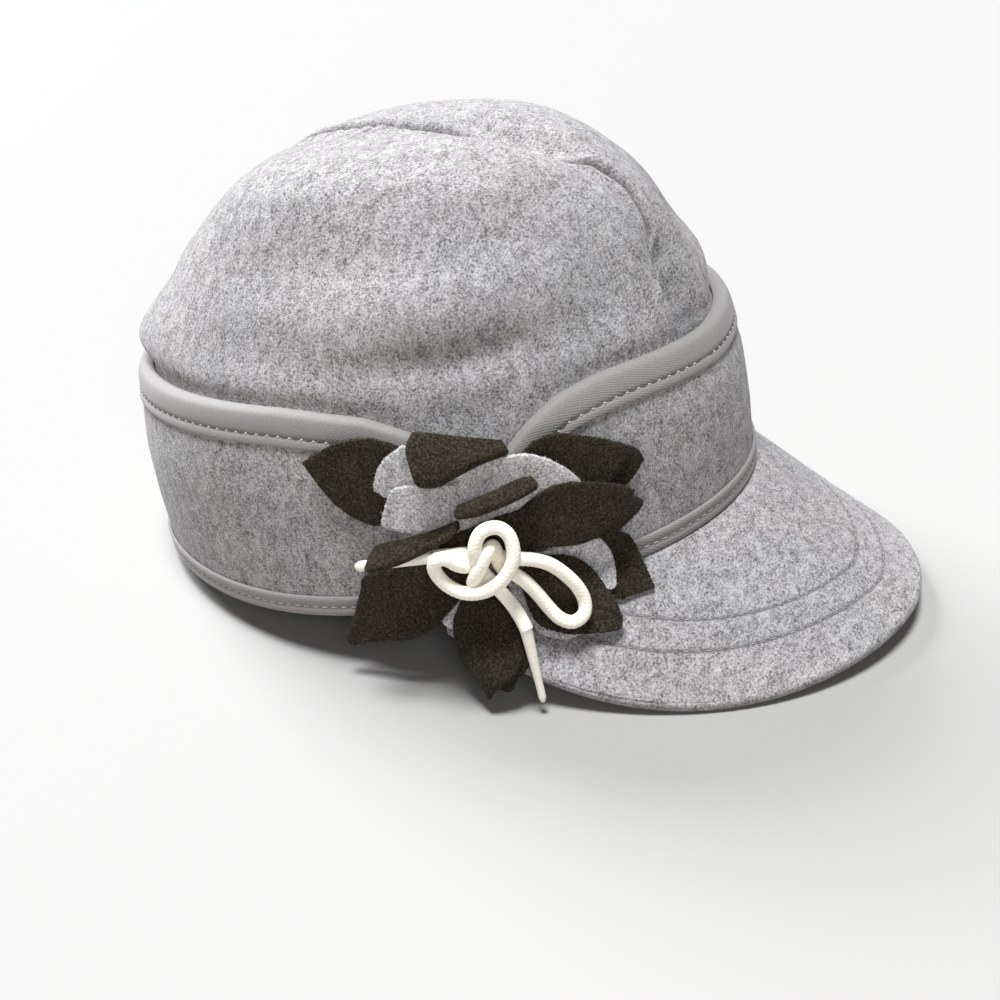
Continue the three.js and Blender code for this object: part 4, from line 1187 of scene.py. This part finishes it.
def new_material(name):
    material = bpy.data.materials.new(name)
    material.use_nodes = True
    return material, material.node_tree, material.node_tree.nodes["Principled BSDF"]


def add_node(tree, kind, **values):
    node = tree.nodes.new(kind)
    for key, value in values.items():
        if hasattr(node, key):
            setattr(node, key, value)
        else:
            node.inputs[key].default_value = value
    return node


def stretched_coordinates(tree, scale, turn=(0, 0, 0)):
    coordinates = add_node(tree, "ShaderNodeTexCoord")
    mapping = add_node(tree, "ShaderNodeMapping")
    mapping.inputs["Scale"].default_value = scale
    mapping.inputs["Rotation"].default_value = turn
    tree.links.new(coordinates.outputs["Object"], mapping.inputs["Vector"])
    return mapping.outputs["Vector"]


def noise(tree, vector, scale, detail, roughness=0.55, distortion=0.0):
    node = add_node(tree, "ShaderNodeTexNoise")
    node.inputs["Scale"].default_value = scale
    node.inputs["Detail"].default_value = detail
    node.inputs["Roughness"].default_value = roughness
    node.inputs["Distortion"].default_value = distortion
    tree.links.new(vector, node.inputs["Vector"])
    return node.outputs["Fac"]


def math_node(tree, operation, a, b):
    node = add_node(tree, "ShaderNodeMath", operation=operation)
    for socket, value in zip(node.inputs, (a, b)):
        if isinstance(value, (int, float)):
            socket.default_value = value
        else:
            tree.links.new(value, socket)
    return node.outputs[0]


def blended(tree, one, share, other, other_share):
    """Sum of two values, each by its share."""
    first = math_node(tree, "MULTIPLY", one, share)
    return math_node(tree, "ADD", first, math_node(tree, "MULTIPLY", other, other_share))


def ramp(tree, factor, stops):
    node = add_node(tree, "ShaderNodeValToRGB")
    elements = node.color_ramp.elements
    while len(elements) < len(stops):
        elements.new(0.5)
    for element, (place, colour) in zip(elements, stops):
        element.position = place
        element.color = (*colour, 1)
    tree.links.new(factor, node.inputs["Fac"])
    return node.outputs["Color"]


def mix_colour(tree, factor, a, b, blend="MIX"):
    node = add_node(tree, "ShaderNodeMix", data_type="RGBA", blend_type=blend)
    factor_socket, a_socket, b_socket = node.inputs[0], node.inputs[6], node.inputs[7]
    for socket, value in ((factor_socket, factor), (a_socket, a), (b_socket, b)):
        if isinstance(value, (int, float)):
            socket.default_value = value
        elif isinstance(value, tuple):
            socket.default_value = (*value, 1)
        else:
            tree.links.new(value, socket)
    return node.outputs[2]


def bump(tree, shader, height, strength, distance):
    node = add_node(tree, "ShaderNodeBump")
    node.inputs["Strength"].default_value = strength
    node.inputs["Distance"].default_value = distance
    tree.links.new(height, node.inputs["Height"])
    tree.links.new(node.outputs["Normal"], shader.inputs["Normal"])


def felt_material(name, tones, patch_warm, patch_cool, contrast, clumping, sheen):
    """Wool felt of mixed fibres: short streaks in two directions, flecks, clumps and slow patches of tone,
    with painted shade in the grooves of seams and stitch rows.
    """
    material, tree, shader = new_material(name)
    one = noise(tree, stretched_coordinates(tree, (1, 2.6, 1.7), (0.5, 0.3, 0.7)), 800, 3, 0.6, 0.5)
    two = noise(tree, stretched_coordinates(tree, (2.6, 1, 1.6), (0.2, 0.9, 2.1)), 900, 3, 0.6, 0.5)
    streaks = blended(tree, one, 0.5, two, 0.5)
    fine = noise(tree, stretched_coordinates(tree, (1, 1, 1)), 1500, 2, 0.6)
    clumps = noise(tree, stretched_coordinates(tree, (1, 1.3, 0.8), (0.4, 0.2, 0.9)), 260, 3, 0.6, 0.6)
    mixed = blended(tree, streaks, 0.6, fine, 0.4)
    mixed = blended(tree, mixed, 1 - clumping, clumps, clumping)
    tone = ramp(tree, mixed, tuple(zip((0.5 - contrast, 0.5, 0.5 + contrast), tones)))
    slow = noise(tree, stretched_coordinates(tree, (1, 1, 1), (0.3, 0.1, 0.2)), 26, 3, 0.5)
    patches = ramp(tree, slow, ((0.38, patch_cool), (0.62, patch_warm)))
    colour = mix_colour(tree, 1.0, tone, patches, "MULTIPLY")
    # Painted shade: the felt darkened towards its darkest tone in seams and stitch grooves
    groove = add_node(tree, "ShaderNodeAttribute", attribute_name=PAINTED_SHADE_ATTRIBUTE)
    painted_shade_share = math_node(tree, "MULTIPLY", groove.outputs["Fac"], PAINTED_GROOVE_SHADE)
    colour = mix_colour(tree, painted_shade_share, colour, tones[0])
    tree.links.new(colour, shader.inputs["Base Color"])
    shader.inputs["Roughness"].default_value = 0.95
    shader.inputs["Specular IOR Level"].default_value = 0.1
    shader.inputs["Sheen Weight"].default_value = sheen
    shader.inputs["Sheen Roughness"].default_value = 0.5
    bump(tree, shader, mixed, 0.6, 0.0009)
    return material


def tape_material(name, colour):
    """Closely woven tape: a fine diagonal weave under a faint unevenness of tone."""
    material, tree, shader = new_material(name)
    weave = add_node(tree, "ShaderNodeTexWave", wave_type="BANDS", bands_direction="DIAGONAL")
    weave.inputs["Scale"].default_value = 620
    weave.inputs["Distortion"].default_value = 0.6
    weave.inputs["Detail"].default_value = 2
    tree.links.new(stretched_coordinates(tree, (1, 1, 1)), weave.inputs["Vector"])
    grain = noise(tree, stretched_coordinates(tree, (1, 1, 1)), 1400, 3)
    mixed = blended(tree, weave.outputs["Fac"], 0.35, grain, 0.65)
    dark = tuple(c * 0.8 for c in colour)
    light = tuple(min(1, c * 1.16) for c in colour)
    tone = ramp(tree, mixed, ((0.25, dark), (0.7, light)))
    tree.links.new(tone, shader.inputs["Base Color"])
    shader.inputs["Roughness"].default_value = 0.8
    shader.inputs["Specular IOR Level"].default_value = 0.25
    shader.inputs["Sheen Weight"].default_value = 0.12
    bump(tree, shader, mixed, 0.35, 0.0004)
    return material


def lace_material(name, colour, shade):
    material, tree, shader = new_material(name)
    grain = noise(tree, stretched_coordinates(tree, (1, 1, 1)), 1500, 4)
    tone = ramp(tree, grain, ((0.3, shade), (0.6, colour)))
    tree.links.new(tone, shader.inputs["Base Color"])
    shader.inputs["Roughness"].default_value = 0.7
    shader.inputs["Specular IOR Level"].default_value = 0.3
    shader.inputs["Sheen Weight"].default_value = 0.1
    bump(tree, shader, grain, 0.3, 0.0003)
    return material


FELT = felt_material(
    "felt_grey", ((0.095, 0.088, 0.085), (0.285, 0.268, 0.262), (0.45, 0.43, 0.425)),
    (1.0, 0.97, 0.965), (0.95, 0.955, 0.96), 0.09, 0.22, 0.1,
)
DARK_FELT = felt_material(
    "felt_dark", ((0.007, 0.0055, 0.004), (0.023, 0.018, 0.0125), (0.060, 0.049, 0.034)),
    (1.0, 0.95, 0.88), (0.96, 0.97, 0.9), 0.10, 0.08, 0.05,
)
GREY_PETAL_FELT = felt_material(
    "felt_petal_grey", ((0.16, 0.15, 0.145), (0.46, 0.43, 0.42), (0.80, 0.77, 0.76)),
    (1.0, 0.98, 0.98), (0.93, 0.95, 0.98), 0.11, 0.2, 0.1,
)
TAPE = tape_material("tape_grey", (0.235, 0.215, 0.205))
LACE = lace_material("lace_cream", (0.95, 0.89, 0.76), (0.86, 0.79, 0.64))
LACE_END = lace_material("lace_end", (0.86, 0.80, 0.68), (0.76, 0.70, 0.58))
THREAD_DARK = lace_material("thread_dark", (0.10, 0.092, 0.09), (0.06, 0.055, 0.055))
THREAD_GREY = lace_material("thread_grey", (0.36, 0.35, 0.34), (0.2, 0.19, 0.18))
THREAD_LIGHT = lace_material("thread_light", (0.62, 0.6, 0.58), (0.4, 0.39, 0.37))
# Light grey hairs: partly pale wool fibres, partly painted sheen where the fuzz catches the light
HAIR_PALE_PAINTED_SHEEN = lace_material("hair_pale_painted_sheen", (0.62, 0.61, 0.62), (0.4, 0.39, 0.4))
HAIR_DARK = lace_material("hair_dark", (0.05, 0.043, 0.033), (0.03, 0.026, 0.02))


# Camera

camera_data = bpy.data.cameras.new("camera")
camera_data.lens = CAMERA_LENS
camera_data.sensor_width = CAMERA_SENSOR
camera_data.clip_start = 0.01
camera = add_object("camera", camera_data)
roll = math.radians(CAMERA_ROLL)
back = towards(CAMERA_BEARING, CAMERA_HEIGHT)
level_right = towards(CAMERA_BEARING + 90, 0)
level_up = back.cross(level_right)
right = level_right * math.cos(roll) + level_up * math.sin(roll)
above = back.cross(right)
axes = Matrix([tipped(axis).tolist() for axis in (right, above, back)]).transposed()
camera.matrix_world = Matrix.Translation(Vector(to_frame(CAMERA_PLACE))) @ axes.to_4x4()
bpy.context.scene.camera = camera

# Lace, tied over the flower

lace, lace_line = lace_tube("lace", LACE_ROUTE, LACE)
tips = {
    name: lace_tip(name + "_end", *row, LACE_END, "lace_cream")
    for name, row in LACE_TIPS.items()
}
for name, tip in tips.items():
    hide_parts(name)
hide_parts("lace_loop_left", "lace_loop_right", "lace_tail_left", "lace_tail_right", "lace_knot")

# Crown, band, tape and peak

random = np.random.default_rng(SEED)
crown_points, crown_faces, crown_painted_shade = crown_shell()
crown = make_object("crown", to_frame(crown_points), crown_faces, FELT)
# Painted shade along the crown's seam
set_painted_shade(crown, crown_painted_shade)
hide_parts("crown_half_right", "crown_half_left")

turns = ring_turns(RING_TURNS)
band, band_points, band_faces = ring_solid("earband_felt", turns, earband_section, FELT)
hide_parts("earband")
top_tape, _, _ = ring_solid("tape_top", turns, binding_top_section, TAPE)
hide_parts("binding_top")
bottom_tape, _, _ = ring_solid("tape_bottom", turns, binding_bottom_section, TAPE)
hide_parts("binding_bottom")

visor_points, visor_faces, visor_painted_shade = visor_shell()
peak = make_object("peak", to_frame(visor_points), visor_faces, FELT)
# Painted shade in the grooves of the peak's stitch rows
set_painted_shade(peak, visor_painted_shade)
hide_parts("visor")

# Stitches: the rows on both tapes, and two rows on the peak
# Threads: distance between stitches, share of it that shows, radius and how far out they lie

TOP_STITCH = (4.0, 0.62, 0.22, 0.05)
TOP_GLINT = (4.0, 0.2, 0.24, 0.12)
TOP_GLINT_START = 0.5
TOP_LINE_INSET = -0.6
BOTTOM_STITCH = (3.4, 0.6, 0.24, 0.08)
BOTTOM_LINE_INSET = -0.65
BOTTOM_LINE_SHARE = 0.49
PEAK_STITCH = (3.4, 0.5, 0.2, 0.06)
PEAK_ROW_SPREAD = 0.985
PEAK_ROW_POINTS = 260
PEAK_ROW_FROM_OUT = 0.02
PEAK_ROW_OUTS = 240

ring_line_turns = np.append(turns, turns[0] + FULL_TURN)
ring_out = np.stack([-np.sin(ring_line_turns), -np.cos(ring_line_turns), 0 * ring_line_turns], -1)
stitch_height = band_top(ring_line_turns) - (1 - TOP_TAPE_STITCH_SHARE) * slanted_tape_height(ring_line_turns)
top_line = band_point(ring_line_turns, stitch_height, TOP_LINE_INSET)
stitches("stitches_top", top_line, ring_out, *TOP_STITCH, THREAD_DARK, "tape_grey")
stitches("stitches_top_light", top_line, ring_out, *TOP_GLINT, THREAD_LIGHT, "tape_grey", TOP_GLINT_START)
bottom_height = BOTTOM_LINE_SHARE * BOTTOM_TAPE_HEIGHT + 0 * ring_line_turns
bottom_line = band_point(ring_line_turns, bottom_height, BOTTOM_LINE_INSET)
stitches("stitches_bottom", bottom_line, ring_out, *BOTTOM_STITCH, THREAD_LIGHT, "tape_grey")

visor_across = np.linspace(-PEAK_ROW_SPREAD, PEAK_ROW_SPREAD, PEAK_ROW_POINTS)
visor_outs = np.linspace(PEAK_ROW_FROM_OUT, 1, PEAK_ROW_OUTS)
side, out = np.meshgrid(visor_across, visor_outs, indexing="ij")
away = row_distance(side, visor_point(side, out))
for row, inset in enumerate(VISOR_STITCH_ROWS):
    inside = away[:, 0] > inset + 1
    kept = visor_across[inside]
    found = np.array([np.interp(-inset, -gaps, visor_outs) for gaps in away[inside]])
    line = visor_point(kept, found)
    normals = visor_normal(kept, found)
    sewn = line + normals * (visor_waves(line, found) - VISOR_GROOVE_DEPTH)[:, None]
    stitches(f"stitches_peak_{row + 1}", sewn, normals, *PEAK_STITCH, THREAD_GREY, "felt_grey")

# Petals, with the roots and directions of the fibres along their edges

fringes = {"petal_dark": [], "petal_grey": []}
for shade, felt, petals in (("dark", DARK_FELT, DARK_PETALS), ("grey", GREY_PETAL_FELT, GREY_PETALS)):
    for name, (layer, outline) in petals.items():
        petal, *fringe = flat_petal(f"{shade}_petal_{name}", layer, outline, felt, random)
        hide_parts(f"petal_{shade}_{name}")
        fringes[f"petal_{shade}"].append(fringe)
for name, lines in STANDING_PETALS.items():
    petal, *fringe = standing_petal(f"dark_petal_{name}", lines, DARK_FELT)
    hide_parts(f"petal_dark_{name}")
    fringes["petal_dark"].append(fringe)

# Fibres on the petals' edges and over the felt of the cap

PETAL_HAIRS = 300
PETAL_HAIR_RADIUS = 0.032
PETAL_HAIR_LONGEST = {"petal_dark": 1.3, "petal_grey": 0.75}
PETAL_HAIR_SHORTEST = 0.4
PETAL_HAIR_STRAY = 0.8
PETAL_ROOT_DEPTH = 0.3
PETAL_ROOT_SPREAD = 0.25
HAIR_BEND = 0.4
FELT_HAIR_RADIUS = 0.024
FELT_HAIR_LENGTHS = (0.7, 1.5)
FELT_HAIR_STAND = 0.5
FELT_HAIR_STRAY = 0.6
FELT_ROOT_DEPTH = 0.05
CROWN_HAIRS = 12000
CROWN_HAIRS_FROM_Z = 45
BAND_HAIRS = 8000
PEAK_HAIRS = 7000
PEAK_HAIRS_ABOVE_SLOPE = -0.2

# The grey petals' hairs are partly pale wool, partly painted sheen
for slot, material in (("petal_dark", HAIR_DARK), ("petal_grey", HAIR_PALE_PAINTED_SHEEN)):
    roots = []
    ways = []
    for edge, outer in fringes[slot]:
        picked = random.integers(0, len(edge), PETAL_HAIRS)
        outer = unit(outer)[picked]
        stray = random.normal(0, PETAL_HAIR_STRAY, (PETAL_HAIRS, 3))
        spread = random.normal(0, PETAL_ROOT_SPREAD, (PETAL_HAIRS, 3))
        roots.append(edge[picked] - PETAL_ROOT_DEPTH * outer + spread)
        ways.append(outer + stray)
    roots = np.concatenate(roots)
    lengths = random.uniform(PETAL_HAIR_SHORTEST, 1, len(roots)) * PETAL_HAIR_LONGEST[slot]
    ways = np.concatenate(ways)
    fibres(f"hairs_{slot}", roots, ways, lengths, PETAL_HAIR_RADIUS, HAIR_BEND, material, random)


def nap(name, points, faces, count, outer_side):
    """Fibres that lie over the felt and stand off it a little, on the side of it that shows."""
    roots, ways = scattered(points, faces, count, random)
    seen = outer_side(roots, ways)
    roots, ways = roots[seen], ways[seen]
    ways = FELT_HAIR_STAND * ways + random.normal(0, FELT_HAIR_STRAY, ways.shape)
    lengths = random.uniform(*FELT_HAIR_LENGTHS, len(roots))
    roots = roots - FELT_ROOT_DEPTH * ways
    # Hairs over the cap's felt: partly pale wool, partly painted sheen
    fibres(name, roots, ways, lengths, FELT_HAIR_RADIUS, HAIR_BEND, HAIR_PALE_PAINTED_SHEEN, random)


nap(
    "hairs_crown", crown_points, crown_faces, CROWN_HAIRS,
    lambda roots, ways: (np.sum(roots * ways, 1) > 0) & (roots[:, 2] > CROWN_HAIRS_FROM_Z),
)
nap(
    "hairs_band", band_points, band_faces, BAND_HAIRS,
    lambda roots, ways: np.sum((roots * ways)[:, :2], 1) > 0,
)
nap(
    "hairs_peak", visor_points, visor_faces, PEAK_HAIRS,
    lambda roots, ways: ways[:, 2] > PEAK_HAIRS_ABOVE_SLOPE,
)

# Floor and light

FLOOR_HALF_SIZE = 6.0
FLOOR_HEIGHT = -0.0002
FLOOR_COLOUR = (0.325, 0.308, 0.293)
SUN_COLOUR = (0.95, 1.0, 1.045)
WORLD_COLOUR = (1, 0.97, 0.95)
WORLD_STRENGTH = 0.1

floor_mesh = bpy.data.meshes.new("floor")
floor_mesh.from_pydata(
    [
        (x * FLOOR_HALF_SIZE, y * FLOOR_HALF_SIZE, FLOOR_HEIGHT)
        for x, y in ((-1, -1), (1, -1), (1, 1), (-1, 1))
    ],
    [], [(0, 1, 2, 3)],
)
floor_material, _, floor_shader = new_material("floor_pale")
floor_shader.inputs["Base Color"].default_value = (*FLOOR_COLOUR, 1)
floor_shader.inputs["Roughness"].default_value = 0.9
floor_mesh.materials.append(floor_material)
floor = add_object("floor", floor_mesh)


def sun_light(name, bearing, height, spread, strength):
    """Soft light from far off, from a bearing and a height in degrees."""
    data = bpy.data.lights.new(name, "SUN")
    data.angle = math.radians(spread)
    data.energy = strength
    data.color = SUN_COLOUR
    light = add_object(name, data)
    light.rotation_euler = towards(bearing, height).to_track_quat("Z", "Y").to_euler()


sun_light("overhead", -105, 83, 18, 5.3)
sun_light("behind", 158, 37, 30, 5.3)
sun_light("near", -55, 28, 30, 0.85)

world = bpy.data.worlds.new("world")
bpy.context.scene.world = world
world.use_nodes = True
world.node_tree.nodes["Background"].inputs["Color"].default_value = (*WORLD_COLOUR, 1)
world.node_tree.nodes["Background"].inputs["Strength"].default_value = WORLD_STRENGTH
bpy.context.scene.view_settings.view_transform = "Standard"
